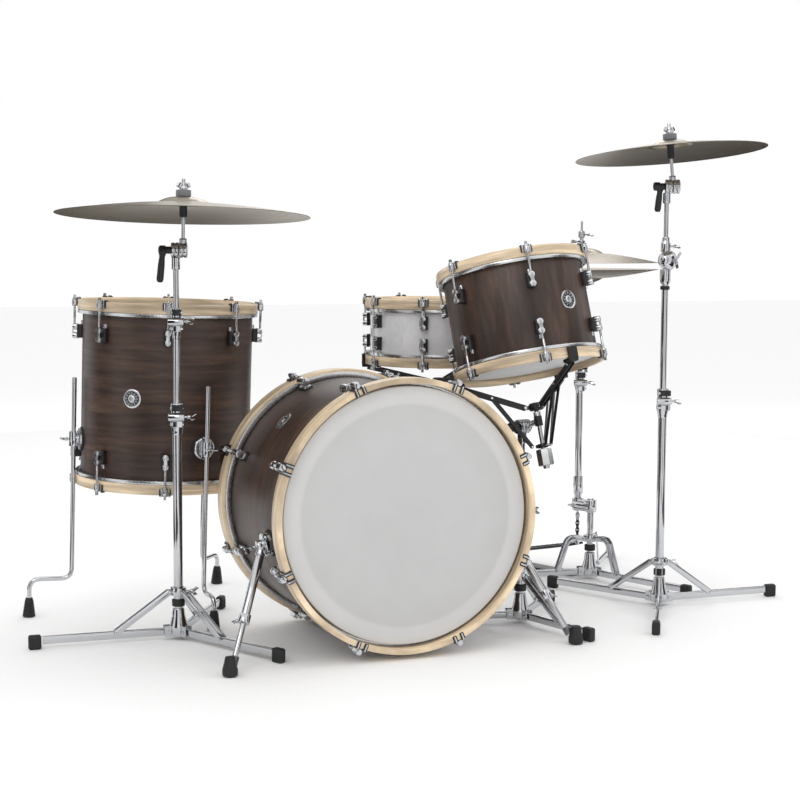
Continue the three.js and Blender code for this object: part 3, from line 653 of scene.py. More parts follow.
def dress_tom(name, body, diameter, lugs, first, veneer, film=COATED):
    low, high = centre(f"{name}_hoop_bottom"), centre(f"{name}_hoop_top")
    axis = (high - low).normalized()
    length = (high - low).length + HOOP_RISE
    place = standing(low - axis * HOOP_RISE / 2, axis)
    radius = diameter / 2
    end = EDGE + FILM + SEAM
    skin = 1.2 * MM
    shell = [(pipe(radius, radius - skin, end, length - end, 0.4 * MM, FINE), veneer),
             (pipe(radius - skin - 0.05 * MM, radius - SHELL_WALL, end, length - end, 1 * MM, FINE), PLY)]
    make(f"{name}_shell_veneer", shell, body, place, [f"{name}_shell"])
    outer = radius + (HOOP_CLEAR + HOOP_WALL - 0.6 * MM)
    skin_shape, flesh = head(radius, outer, EDGE - HOOP_RISE - SEAM, 2.5 * MM)
    for side, level, flip in (("top", length - EDGE, Matrix()), ("bottom", EDGE, FLIPPED)):
        spot = place @ moved(0, 0, level) @ flip
        make(f"{name}_{side}_film", [(skin_shape, film), (flesh, STEEL)], body, spot,
             [f"{name}_head_{side}"])
    inside = radius + HOOP_CLEAR
    for side, level in (("top", length - HOOP_RISE), ("bottom", 0)):
        bow = pipe(inside + HOOP_WALL, inside, level, level + HOOP_RISE, 2.2 * MM, FINE)
        make(f"{name}_{side}_maple_hoop", [(bow, MAPLE)], body, place, [f"{name}_hoop_{side}"])
    inset = EDGE + min(62 * MM, length * 0.24)
    out = HOOP_CLEAR + HOOP_WALL + 7 * MM
    patterns = {
        "lug": tom_lug(),
        "tension_rod": tension_rod(out, 12 * MM, inset - 2 * MM),
        "claw": claw(out, HOOP_CLEAR, HOOP_CLEAR + HOOP_WALL, inset, 15 * MM, 1.5 * MM),
    }
    dress_with_tension(name, body, place, radius, length, lugs, first, inset, patterns)
    print(name, "measures", round(diameter / INCH, 1), "inch across and", round(length * 1000), "mm deep")
    return place, radius, length


floor_place, floor_radius, floor_length = dress_tom(
    "floor_tom", "kit_frame", 16 * INCH, 8, -58.7, WALNUT_ROUND)
rack_place, rack_radius, rack_length = dress_tom(
    "rack_tom", "tom_basket", 13 * INCH, 6, -103, WALNUT_UPRIGHT)
snare_place, snare_radius, snare_length = dress_tom(
    "snare", "snare_basket", 14 * INCH, 8, 10, PEARL)
badge("floor_tom_badge", "kit_frame", floor_place, floor_radius, -126.6, floor_length / 2)
badge("rack_tom_badge", "tom_basket", rack_place, rack_radius, -72, rack_length / 2 + 3 * MM)


# %% Snare strainer, throw-off and wires
STRAINER_TURN = 122.5


def snare_details():
    place = snare_place @ turned(STRAINER_TURN) @ moved(snare_radius, 0, snare_length / 2)
    gasket = put(block(3 * MM, 28 * MM, 76 * MM, 1 * MM), moved(0.5 * MM, 0, 0))
    body = put(block(12 * MM, 25 * MM, 72 * MM, 4 * MM, 2 * MM), moved(8 * MM, 0, 0))
    knob = put(rod(6 * MM, 37 * MM, 46 * MM, 1.2 * MM), moved(9 * MM, 0, 0))
    make("snare_strainer", [(gasket, RUBBER), (body, CHROME), (knob, CHROME)], "snare_basket", place)
    lever = put(block(4.6 * MM, 13 * MM, 51 * MM, 2 * MM, 1 * MM), moved(18.4 * MM, 0, 6 * MM))
    tip = put(block(6 * MM, 15 * MM, 13 * MM, 2.5 * MM, 1.5 * MM), moved(19.5 * MM, 0, 25 * MM))
    make("snare_throw_off_lever", [(lever, CHROME), (tip, RUBBER)], "snare_throw_off", place,
         ["snare_throw_off"])
    wires = []
    for k in range(-9, 10):
        points = [(-150 * MM, k * 2.2 * MM, 14.4 * MM), (150 * MM, k * 2.2 * MM, 14.4 * MM)]
        wires.append((wire(points, 0.7 * MM, 6), STEEL))
    for side in (-1, 1):
        wires.append((put(block(12 * MM, 46 * MM, 1.4 * MM), moved(side * 150 * MM, 0, 14.2 * MM)), CHROME))
    make("snare_wires", wires, "snare_basket", snare_place @ turned(STRAINER_TURN))
    rest = snare_place @ turned(STRAINER_TURN + 180) @ moved(snare_radius, 0, snare_length / 2)
    butt = put(block(12 * MM, 25 * MM, 40 * MM, 4 * MM, 2 * MM), moved(7 * MM, 0, -14 * MM))
    make("snare_butt_plate", [(butt, CHROME)], "snare_basket", rest)


snare_details()

# %% [markdown]
# ## The bass drum
# The bass drum lies on its side: its local z runs from the audience's head to the player's.  Its
# maple hoops are deep and carry claws whose pads show on the front.

# %% Bass drum
BASS = {"radius": 11 * INCH, "wall": 8 * MM, "rim": 299.5 * MM, "rim_wall": 13 * MM, "rim_depth": 40 * MM,
        "inset": 18 * MM, "lug_inset": 82 * MM, "first": 22.5, "lugs": 8}


def bass_frame():
    front, rear = centre("bass_hoop_front"), centre("bass_hoop_rear")
    axis = (rear - front).normalized()
    across = Vector((1, 0, 0))
    turn = Matrix((across, axis.cross(across), axis)).transposed().to_4x4()
    origin = front - axis * BASS["rim_depth"] / 2
    return Matrix.Translation(origin) @ turn, (rear - front).length + BASS["rim_depth"]


def dress_bass(place, length):
    radius, rim, body = BASS["radius"], BASS["rim"], "kit_frame"
    end = BASS["inset"] + FILM + SEAM
    skin = 1.2 * MM
    shell = [(pipe(radius, radius - skin, end, length - end, 0.4 * MM, FINE), WALNUT_ROUND),
             (pipe(radius - skin - 0.05 * MM, radius - BASS["wall"], end, length - end, 1 * MM, FINE), PLY)]
    make("bass_shell_veneer", shell, body, place, ["bass_shell"])
    film, flesh = head(radius, rim - 7 * MM, BASS["inset"] - BASS["rim_depth"] - SEAM, 4 * MM)
    rear_spot = place @ moved(0, 0, length - BASS["inset"])
    front_spot = place @ moved(0, 0, BASS["inset"]) @ FLIPPED
    make("bass_rear_film", [(film, COATED), (flesh, STEEL)], body, rear_spot, ["bass_head_rear"])
    make("bass_front_film", [(film, RESONANT), (flesh, STEEL)], body, front_spot, ["bass_head_front"])
    for side, low in (("front", 0), ("rear", length - BASS["rim_depth"])):
        bow = pipe(rim, rim - BASS["rim_wall"], low, low + BASS["rim_depth"], 3 * MM, FINE)
        make(f"bass_{side}_maple_hoop", [(bow, MAPLE)], body, place, [f"bass_hoop_{side}"])
    hoop_in, hoop_out = rim - BASS["rim_wall"] - radius, rim - radius
    out = hoop_out + 8 * MM
    patterns = {
        "lug": bass_lug(),
        "tension_rod": tension_rod(out, 20 * MM, BASS["lug_inset"] - 14 * MM),
        "claw": claw(out, hoop_in, hoop_out, BASS["lug_inset"], 30 * MM, 0),
    }
    dress_with_tension("bass", body, place, radius, length, BASS["lugs"], BASS["first"], BASS["lug_inset"],
                       patterns)
    badge("bass_badge", body, place, radius, -136, 257 * MM)


bass_place, bass_length = bass_frame()
dress_bass(bass_place, bass_length)

# %% [markdown]
# ## Spurs
# Two telescopic legs splay forwards from domed hubs on the shell and keep the drum from creeping.
# Each is a tube with a clamp collar, and an inner rod that ends in a rubber cone.

# %% Screws shared by all the hardware
def wing_screw(reach=16 * MM, span=15 * MM):
    """A screw along z whose head is two raised wings."""
    parts = [rod(2.6 * MM, -reach, 2 * MM), rod(4.6 * MM, 0, 7 * MM, 1.2 * MM)]
    for side in (-1, 1):
        leaf = put(block(3 * MM, span, 9 * MM, 1.4 * MM, 1.2 * MM), moved(0, 0, 0))
        lift = Matrix.Rotation(side * radians(32), 4, "X")
        parts.append(put(leaf, moved(0, 0, 6 * MM) @ lift @ moved(0, side * span * 0.55, 0)))
    return parts


def upon(shapes, matrix, material):
    return [(put(shape, matrix), material) for shape in shapes]


def screw_at(point, direction, reach=16 * MM, span=15 * MM, material=None):
    return upon(wing_screw(reach, span), standing(point, direction), material or CHROME)


def rubber_cone(foot, radius, rise):
    profile = [(0, 0), (radius * 0.62, 0), (radius * 0.98, 3 * MM), (radius, rise * 0.35),
               (radius * 0.72, rise * 0.75),
               (radius * 0.62, rise), (0, rise)]
    return put(revolve(softened(profile, 2 * MM), MEDIUM), moved(*foot))


# %% The two spurs
SPUR = {"turn": 12, "along": 130 * MM, "seat": 290.4 * MM, "plate": 7 * MM, "tube": 9.5 * MM, "rod": 6.5 * MM,
        "tube_end": 182 * MM}


def dress_spur(side):
    name = "left" if side < 0 else "right"
    low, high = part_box(f"spur_{name}_rod")
    foot = Vector((high[0] - 15 * MM if side > 0 else low[0] + 15 * MM, low[1] + 15 * MM, 0))
    outward = Vector((side * cos(radians(SPUR["turn"])), 0, -sin(radians(SPUR["turn"]))))
    middle = bass_place @ Vector((0, 0, SPUR["along"]))
    seat = middle + outward * SPUR["seat"]
    hub = seat + outward * SPUR["plate"]
    lean = (foot - hub).normalized()
    base = standing(middle + outward * (BASS["radius"] - 1 * MM), outward)
    rise = SPUR["seat"] - BASS["radius"] + 1 * MM
    mount = [(put(dome(30 * MM, 0, 4 * MM, 1.5 * MM), base), RUBBER),
             (put(dome(26.5 * MM, 3 * MM, rise, 3 * MM), base), CHROME)]
    make(f"spur_{name}_mount", mount, "kit_frame")
    disc = standing(seat, outward)
    collar_low = SPUR["tube_end"] - 20 * MM
    tube = [(put(dome(27 * MM, 0.4 * MM, 8 * MM, 3.5 * MM), disc), CHROME),
            (put(rod(13 * MM, 6 * MM, 20 * MM, 2.5 * MM, MEDIUM), disc), CHROME),
            (aim(pipe(SPUR["tube"], 7 * MM, 4 * MM, SPUR["tube_end"]), hub, foot), CHROME),
            (aim(rod(SPUR["tube"] + 1.5 * MM, 2 * MM, 26 * MM, 1.5 * MM, MEDIUM), hub, foot), CHROME),
            (aim(pipe(12.8 * MM, 7.4 * MM, collar_low, SPUR["tube_end"], 1.2 * MM), hub, foot), CHROME),
            *screw_at(seat + outward * 22 * MM, outward, 8 * MM, 16 * MM),
            *screw_at(hub + lean * (collar_low + 10 * MM) + outward * 12 * MM, outward, 6 * MM, 10 * MM)]
    make(f"spur_{name}_tube_chromed", tube, f"spur_{name}_tube", replaces=[f"spur_{name}_tube"])
    reach = (foot - hub).length
    inner = [(aim(rod(SPUR["rod"], 112 * MM, reach - 14 * MM, 1 * MM), hub, foot), CHROME),
             (aim(rod(9.5 * MM, reach - 44 * MM, reach - 26 * MM, 2 * MM), hub, foot), DARK_STEEL_AND_HOLE_SHADE),
             (rubber_cone(foot, 16.5 * MM, 42 * MM), RUBBER)]
    make(f"spur_{name}_rod_and_foot", inner, f"spur_{name}_rod", replaces=[f"spur_{name}_rod"])
    print("spur", name, "reaches", round(reach * 1000), "mm")


dress_spur(-1)
dress_spur(1)

# %% [markdown]
# ## Floor tom legs
# Each leg is one chromed rod with two bends, held in a domed bracket by a wing screw and standing in
# a ribbed rubber foot.

# %% Three bent legs
LEG = {"turns": [176.6, -78.6, 50], "reaches": [100, 56, 96], "ring": 222 * MM, "radius": 5.5 * MM,
       "top": 255 * MM, "bend": 82 * MM, "bracket": 108 * MM}


def ribbed_foot(rise=46 * MM):
    profile = [(0, 0), (13 * MM, 0), (15 * MM, 2 * MM)]
    for k in range(5):
        profile += [((15 - k * 0.8) * MM, (6 + 6 * k) * MM), ((13.2 - k * 0.8) * MM, (8 + 6 * k) * MM),
                    ((14.6 - k * 0.8) * MM, (10 + 6 * k) * MM)]
    return revolve([*profile, (8 * MM, rise), (0, rise)], MEDIUM)


def dress_leg(i, turn, reach):
    origin = floor_place.translation
    lift = Matrix.Translation((0, 0, LEG["bend"] - origin.z))
    bearing = turned(turn)
    top = bearing @ Vector((LEG["ring"], 0, LEG["top"]))
    knee = lift @ bearing @ Vector((LEG["ring"], 0, 0))
    ankle = lift @ bearing @ Vector((LEG["ring"] + reach * MM, 0, 0))
    up = floor_place.inverted().to_3x3() @ Vector((0, 0, 1))
    ground = (floor_place @ ankle).z
    sole = ankle - Vector((0, 0, ground / up.z))
    path = bent([top, knee, ankle, sole + Vector((0, 0, 20 * MM))], 26 * MM, 10)
    parts = [(wire(path, LEG["radius"], 20, (0.3, 0.9, 0.2)), CHROME),
             (put(ribbed_foot(), moved(*(sole + Vector((0, 0, 0.3 * MM))))), RUBBER)]
    make(f"floor_tom_leg_rod_{i}", parts, f"floor_tom_leg_{i}", floor_place, [f"floor_tom_leg_{i}"])
    spot = floor_place @ bearing @ moved(floor_radius, 0, LEG["bracket"])
    hold = LEG["ring"] - floor_radius
    bracket = [(put(dome(29 * MM, -1 * MM, 4 * MM, 2 * MM), OUTWARD), RUBBER),
               (put(dome(26 * MM, 3 * MM, 10 * MM, 4 * MM), OUTWARD), CHROME),
               (put(pipe(11.5 * MM, 6.1 * MM, -17 * MM, 17 * MM, 1.5 * MM), moved(hold, 0, 0)), CHROME),
               (put(rod(12.5 * MM, 6 * MM, 14 * MM, 2 * MM), OUTWARD), CHROME),
               *screw_at(Vector((hold + 14 * MM, 0, 0)), Vector((1, 0, 0)), 7 * MM, 17 * MM)]
    make(f"floor_tom_leg_bracket_{i}", bracket, "kit_frame", spot)


for number, (leg_turn, leg_reach) in enumerate(zip(LEG["turns"], LEG["reaches"]), 1):
    dress_leg(number, leg_turn, leg_reach)
print("three legs stand at", LEG["turns"])

# %% [markdown]
# ## Stands: flat tripods, tubes and clamps
# Old-style flush bases fold flat: three straight legs lie near the floor, held open by braces from a
# sliding collar.  Everything here is pressed strip, turned collars and rubber blocks, so straps and
# lathed profiles make all of it.  The same function serves all five stands.

# %% Tripod
TRIPOD = {"leg_middle": 19 * MM, "leg_height": 18 * MM, "leg_thick": 9 * MM, "collar": 110 * MM,
          "brace_reach": 143 * MM, "bow_reach": 92 * MM, "bow_corner": 62 * MM}
AUDIENCE_RIGHT = Vector((cos(radians(-21.7)), sin(radians(-21.7)), 0))


def joint(name):
    return next(j for j in frame["joints"] if j["name"] == name)


def bolt(point, direction, radius=4 * MM, length=18 * MM):
    """A bolt through a joint: a head on each side of the straps."""
    spot = standing(point, direction)
    half = length / 2
    heads = [rod(radius, half - 1 * MM, half + 2 * MM, 0.8 * MM),
             rod(radius, -half - 2 * MM, -half + 1 * MM, 0.8 * MM)]
    return upon([*heads, rod(radius * 0.55, -half, half)], spot, CHROME)


def rubber_block_foot(reach, degrees):
    """A moulded foot pushed over the leg's end, with ribs where it grips the floor."""
    spot = turned(degrees) @ moved(reach + 4 * MM, 0, 15.7 * MM)
    parts = [(put(block(28 * MM, 18 * MM, 31 * MM, 4 * MM, 3 * MM), spot), RUBBER)]
    for k in range(-2, 3):
        rib = block(2 * MM, 19.4 * MM, 22 * MM, 0.9 * MM, 0.8 * MM)
        parts.append((put(rib, spot @ moved(k * 5 * MM, 0, -3 * MM)), RUBBER))
    return parts


def leg_and_brace(reach, degrees, bowed):
    turn = turned(degrees)
    middle = TRIPOD["leg_middle"]
    side = (turn @ Vector((0, 1, 0)))
    leg = strap([(16 * MM, 0, middle), (reach - 12 * MM, 0, middle)], TRIPOD["leg_height"],
                TRIPOD["leg_thick"])
    joint_out = Vector((TRIPOD["bow_reach" if bowed else "brace_reach"], 0, middle + 5 * MM))
    joint_in = Vector((21 * MM, 0, TRIPOD["collar"]))
    parts = [(put(leg, turn), CHROME), *rubber_block_foot(reach, degrees)]
    route = [joint_in, joint_out]
    if bowed:
        corner = (TRIPOD["bow_corner"], 0, TRIPOD["collar"] + 4 * MM)
        route = bent([joint_in, corner, joint_out], 70 * MM, 12)
    for offset in (-7.4 * MM, 7.4 * MM):
        path = [turn @ (Vector(p) + Vector((0, offset, 0))) for p in route]
        parts.append((strap(path, 13 * MM, 2.2 * MM), CHROME))
    if bowed:
        # dark steel pins through both straps: their dark ends are painted shade standing in for the holes
        for k in range(2, 12, 2):
            spot = turn @ route[k]
            hole = aim(rod(2.6 * MM, -8.8 * MM, 8.8 * MM), spot, spot + side)
            parts.append((hole, DARK_STEEL_AND_HOLE_SHADE))
    parts += bolt(turn @ joint_out, side)
    parts += bolt(turn @ joint_in, side)
    parts += bolt(turn @ Vector((26 * MM, 0, middle)), side, 4.5 * MM, 22 * MM)
    for offset in (-9 * MM, 9 * MM):
        cheek = put(block(26 * MM, 3 * MM, 24 * MM, 1.4 * MM), turn @ moved(21 * MM, offset, middle + 2 * MM))
        parts.append((cheek, CHROME))
    return parts


def tripod(reach, turns, tube, bowed=False):
    """Legs, braces, the flared hub, its black ring and the collar with its wing screw."""
    parts = [part for degrees in turns for part in leg_and_brace(reach, degrees, bowed)]
    bore = tube + 0.1 * MM
    hub = [(bore, 9 * MM), (20 * MM, 9 * MM), (21.5 * MM, 14 * MM), (21.5 * MM, 30 * MM), (19 * MM, 38 * MM),
           (15.5 * MM, 52 * MM), (13.4 * MM, 70 * MM), (bore, 72 * MM)]
    low = TRIPOD["collar"]
    parts.append((revolve(softened(hub, 2 * MM), MEDIUM), CHROME))
    parts.append((pipe(14.5 * MM, bore, 76 * MM, 92 * MM, 2 * MM), RUBBER))
    parts.append((pipe(18 * MM, bore, low - 9 * MM, low + 9 * MM, 1.6 * MM), CHROME))
    parts.append((pipe(20 * MM, bore + 3 * MM, low - 3 * MM, low + 3 * MM, 1 * MM), CHROME))
    screw = AUDIENCE_RIGHT * 26 * MM + Vector((0, 0, low))
    return parts + screw_at(screw, AUDIENCE_RIGHT, 12 * MM, 17 * MM)


def thirds(turn):
    return [turn, turn + 120, turn + 240]


# %% Tube clamp
def clamp(tube, low, high, bore):
    """Tapered neck, split body, a cross barrel and a wing screw facing the audience's right."""
    wide = tube + 5 * MM
    neck = [(bore, low - 16 * MM), (tube + 0.8 * MM, low - 16 * MM), (tube + 1.6 * MM, low - 8 * MM),
            (wide, low + 6 * MM),
            (wide, high - 26 * MM), (wide - 2 * MM, high - 22 * MM), (wide - 1 * MM, high - 3 * MM),
            (wide - 2 * MM, high), (bore, high)]
    middle = Vector((0, 0, high - 30 * MM))
    forward = Vector((0, 0, 1)).cross(AUDIENCE_RIGHT)
    face = standing((0, 0, 0)) @ Matrix.Rotation(radians(-21.7), 4, "Z")
    barrel = aim(rod(9.5 * MM, -17 * MM, 19 * MM, 2 * MM, MEDIUM), middle - forward * (wide + 1 * MM),
                 middle - forward * (wide + 1 * MM) + AUDIENCE_RIGHT)
    parts = [(revolve(softened(neck, 1.5 * MM), MEDIUM), CHROME), (barrel, CHROME)]
    for z, width in ((high - 10 * MM, 2.6), (high - 46 * MM, 2.3)):
        ear = block(tube * width, 9 * MM, 14 * MM, 2.5 * MM, 1.2 * MM)
        parts.append((put(ear, face @ moved(tube * 0.35, -wide, z)), BLACK if width > 2.5 else CHROME))
        pin_start = Vector((0, 0, z)) - forward * (wide + 1 * MM)
        parts.append((aim(rod(3.2 * MM, -13 * MM, 17 * MM, 0.8 * MM), pin_start, pin_start + AUDIENCE_RIGHT),
                      STEEL))
    hook = middle + AUDIENCE_RIGHT * (wide + 9 * MM) - forward * (wide * 0.6)
    return parts + screw_at(hook, AUDIENCE_RIGHT, 14 * MM, 17 * MM)


def tube_with_clamp(outer, bore, low, high, clamp_low):
    return [(pipe(outer, bore, low, high, 0.8 * MM), CHROME), *clamp(outer, clamp_low, high, bore)]


# %% [markdown]
# ## Tilters and cymbal posts
# A tilter is two toothed discs pressed together by a black ratchet handle: one disc belongs to the
# tube below, the other to the post above, so each half is built on the piece that it turns with.

# %% Tilter halves
def tilter_half(centre_point, axis, side, radius=17 * MM, half=17 * MM):
    """One knurled disc of a tilter; side says which way along the axis it lies."""
    face = standing(centre_point, Vector(axis) * side)
    profile = [(0, 0.4 * MM), (radius - 1.5 * MM, 0.4 * MM), (radius, 1.6 * MM), (radius, half * 0.45),
               (radius - 1.2 * MM, half * 0.5), (radius - 1.2 * MM, half * 0.6), (radius, half * 0.66),
               (radius, half), (radius * 0.7, half + 1.5 * MM), (0, half + 2.5 * MM)]
    parts = [(put(revolve(softened(profile, 1 * MM), MEDIUM), face), CHROME)]
    teeth = 24
    for k in range(teeth):
        spot = face @ turned(360 / teeth * k) @ moved(radius - 1.2 * MM, 0, half * 0.25)
        parts.append((put(block(2.6 * MM, 1.7 * MM, half * 0.34, 0.7 * MM, 0.4 * MM), spot), CHROME))
    return parts


def ratchet_handle(centre_point, axis, drop=72 * MM, slant=0.1, elbow_out=20 * MM):
    """A black moulded handle on the tilter's bolt, hanging beside the tube."""
    axis = Vector(axis)
    start = centre_point - axis * 17 * MM
    elbow = start - axis * elbow_out
    end = elbow - Vector((0, 0, drop)) - axis * (drop * slant)
    socket = aim(rod(8.2 * MM, 0, 20 * MM, 1.5 * MM, MEDIUM), start, elbow)
    knuckle = aim(dome(10.5 * MM, 14 * MM, 30 * MM, 5 * MM), start, elbow)
    grip = [(0, -2 * MM), (8 * MM, -2 * MM), (8.4 * MM, 8 * MM), (6.2 * MM, 14 * MM), (7.6 * MM, drop * 0.45),
            (8 * MM, drop - 6 * MM), (5.5 * MM, drop), (0, drop)]
    return [(socket, BLACK), (knuckle, BLACK),
            (aim(revolve(softened(grip, 2.5 * MM), MEDIUM), elbow, end), BLACK)]


# %% Post, felts and wing nut
def cymbal_post(name, body, tilt_joint, foot, nodes, lean, rim, rise):
    """Everything above the tilter except the cymbal; its own z runs up the post from its foot."""
    pivot = Vector(joint(tilt_joint)["pos_m"])
    place = standing(foot, lean)
    seat = rim + rise
    post = [(rod(4 * MM, 14 * MM, seat + 40 * MM), CHROME)]
    sleeve = [(0, seat - 46 * MM), (8 * MM, seat - 46 * MM), (9 * MM, seat - 43 * MM),
              (9 * MM, seat - 15 * MM),
              (12.5 * MM, seat - 13 * MM), (12.5 * MM, seat - 10 * MM), (6 * MM, seat - 9 * MM),
              (6 * MM, seat + 11 * MM),
              (0, seat + 11 * MM)]
    post.append((revolve(softened(sleeve, 1 * MM), MEDIUM), BLACK))
    foot = rod(8.5 * MM, 14 * MM, 26 * MM, 1.5 * MM, MEDIUM)
    nut = [(0, seat + 15 * MM), (9 * MM, seat + 15 * MM), (9 * MM, seat + 20 * MM),
           (6.5 * MM, seat + 22 * MM),
           (6.5 * MM, seat + 31 * MM), (0, seat + 31 * MM)]
    post += [(foot, CHROME), (revolve(softened(nut, 1 * MM), MEDIUM), CHROME)]
    for side in (-1, 1):
        wing = block(11 * MM, 6 * MM, 12 * MM, 2 * MM, 1.6 * MM)
        lift = Matrix.Rotation(-side * radians(28), 4, "Y")
        post.append((put(wing, moved(side * 9 * MM, 0, seat + 26 * MM) @ lift), CHROME))
    make(f"{name}_rod", post, body, place, nodes)
    half = tilter_half(pivot, AUDIENCE_RIGHT, 1)
    make(f"{name}_tilter_half", half, body)
    washer_low = revolve(softened([(5.2 * MM, seat - 9.6 * MM), (13 * MM, seat - 9.6 * MM),
                                   (13 * MM, seat - 3.4 * MM),
                                   (6.2 * MM, seat - 1.6 * MM)], 1.4 * MM), MEDIUM)
    washer_high = pipe(17 * MM, 6.2 * MM, seat + 0.6 * MM, seat + 15.2 * MM, 2 * MM)
    make(f"{name}_felts", [(washer_low, FELT), (washer_high, FELT)], body, place)


# %% [markdown]
# ## Cymbals
# A cymbal is cast bronze, rolled thin, hammered and lathed: a domed bell, a long bow and an edge under
# a millimetre and a half.  One formula gives the curve of bell and bow, and the material draws the
# lathe's circles.

# %% Cymbal curve
def cymbal_shape(radius, rise, bell, hole):
    thick = 1.4 * MM
    shoulder = rise * 0.62
    top = []
    for k in range(15):
        part = k / 14
        r = hole + (bell - hole) * part
        top.append((r, shoulder + (rise - shoulder) * cos(pi / 2 * (r / bell) ** 1.6)))
    for k in range(1, 33):
        part = k / 32
        top.append((bell + part * (radius - bell), shoulder * (1 - part ** 1.35)))
    under = [(r, z - thick * (1 - 0.35 * (r / radius) ** 6)) for r, z in reversed(top)]
    return revolve([*top, *under], 160)


def dress_cymbal(name, body, node_name, place, radius, rise, bell, hole, tone):
    edge = tuple(c * 0.82 for c in tone)
    bronze = lathed_bronze(f"{name}_bronze", tone, edge, radius)
    shape = cymbal_shape(radius, rise, bell, hole)
    make(name, [(shape, bronze)], body, place, [node_name])
    print(name, "is", round(2 * radius / INCH, 1), "inch across")


BRONZE_TONE = (0.34, 0.29, 0.225)
POST_HOLE = 7.5 * MM
HAT_HOLE = 6.5 * MM


def crown(side, lean, cymbal):
    """The top of a cymbal stand: the leaning post with its felts, and the cymbal that it carries."""
    foot = Vector(joint(f"{side}_cymbal_spin")["pos_m"])
    rim, rise = cymbal["rim"], cymbal["rise"]
    cymbal_post(f"{side}_post", f"{side}_stand_post", f"{side}_stand_tilt", foot,
                [f"{side}_stand_cymbal_post"], lean, rim, rise)
    seat = standing(foot, lean) @ moved(0, 0, rim)
    dress_cymbal(f"{side}_cymbal_lathed", f"{side}_cymbal", f"{side}_cymbal", seat, cymbal["radius"], rise,
                 cymbal["bell"], POST_HOLE, BRONZE_TONE)


# %% [markdown]
# ## The left cymbal stand
# Three telescopic tubes in a flush base: clamp, clamp, and a tilter at the top.

# %% Left stand
LEFT = {"reach": 316.7 * MM, "turn": 57.3, "tubes": [10.5 * MM, 8 * MM, 6.35 * MM], "base_top": 537 * MM,
        "base_clamp": 482 * MM, "middle": [387 * MM, 750 * MM], "middle_clamp": 695 * MM,
        "upper": [600 * MM, 858 * MM], "lean": (0.0297, 0.0494, 1)}
LEFT_CYMBAL = {"radius": 282 * MM, "rise": 41 * MM, "bell": 62 * MM, "rim": 77 * MM}


def left_stand():
    place = standing(LEFT_POLE)
    outer, middle, inner = LEFT["tubes"]
    base = tripod(LEFT["reach"], thirds(LEFT["turn"]), outer)
    base += tube_with_clamp(outer, middle + 0.3 * MM, 34 * MM, LEFT["base_top"], LEFT["base_clamp"])
    make("left_stand_flush_base", base, "kit_frame", place, ["left_stand_base"])
    low, high = LEFT["middle"]
    make("left_stand_middle_chromed",
         tube_with_clamp(middle, inner + 0.3 * MM, low, high, LEFT["middle_clamp"]),
         "left_stand_middle_tube", place, ["left_stand_middle_tube"])
    low, high = LEFT["upper"]
    pivot = Vector(joint("left_stand_tilt")["pos_m"]) - LEFT_POLE
    upper = [(rod(inner, low, high, 0.8 * MM, MEDIUM), CHROME),
             (rod(9.5 * MM, high - 23 * MM, high + 4 * MM, 1.5 * MM,
                                                                   MEDIUM), CHROME)]
    upper += tilter_half(pivot, AUDIENCE_RIGHT, -1) + ratchet_handle(pivot, AUDIENCE_RIGHT)
    make("left_stand_upper_chromed", upper, "left_stand_upper_tube", place, ["left_stand_upper_tube"])
    crown("left", LEFT["lean"], LEFT_CYMBAL)


left_stand()

# %% [markdown]
# ## The right cymbal stand
# The same base carries a longer tube, a large ratchet joint that lets the upper part lean over as a
# boom, and a second tilter under the smaller cymbal.

# %% Right stand
RIGHT = {"reach": 316.7 * MM, "turn": -1.65, "tubes": [10.5 * MM, 8 * MM, 5.8 * MM], "base_top": 542 * MM,
         "base_clamp": 486 * MM, "tube": [400 * MM, 832 * MM], "boom_top": 1018 * MM,
         "lean": (-0.0498, 0.084, 1)}
RIGHT_CYMBAL = {"radius": 232 * MM, "rise": 34 * MM, "bell": 52 * MM, "rim": 79 * MM}


def boom_joint_half(pivot, axis, side):
    """Half of the ball: a domed cap with a knurled band where the two halves meet."""
    cap = [(0, 0.4 * MM), (23 * MM, 0.4 * MM), (24 * MM, 1.4 * MM)]
    cap += [(24 * MM * cos(radians(t)), (3 + 18 * sin(radians(t))) * MM) for t in range(0, 91, 9)]
    parts = [(put(revolve(cap[:-1] + [(0, 21 * MM)], FINE), standing(pivot, axis * side)), CHROME)]
    for k in range(28):
        spot = standing(pivot, axis * side) @ turned(360 / 28 * k) @ moved(23.2 * MM, 0, 3.4 * MM)
        parts.append((put(block(2.6 * MM, 2 * MM, 4.6 * MM, 0.7 * MM, 0.4 * MM), spot), CHROME))
    return parts


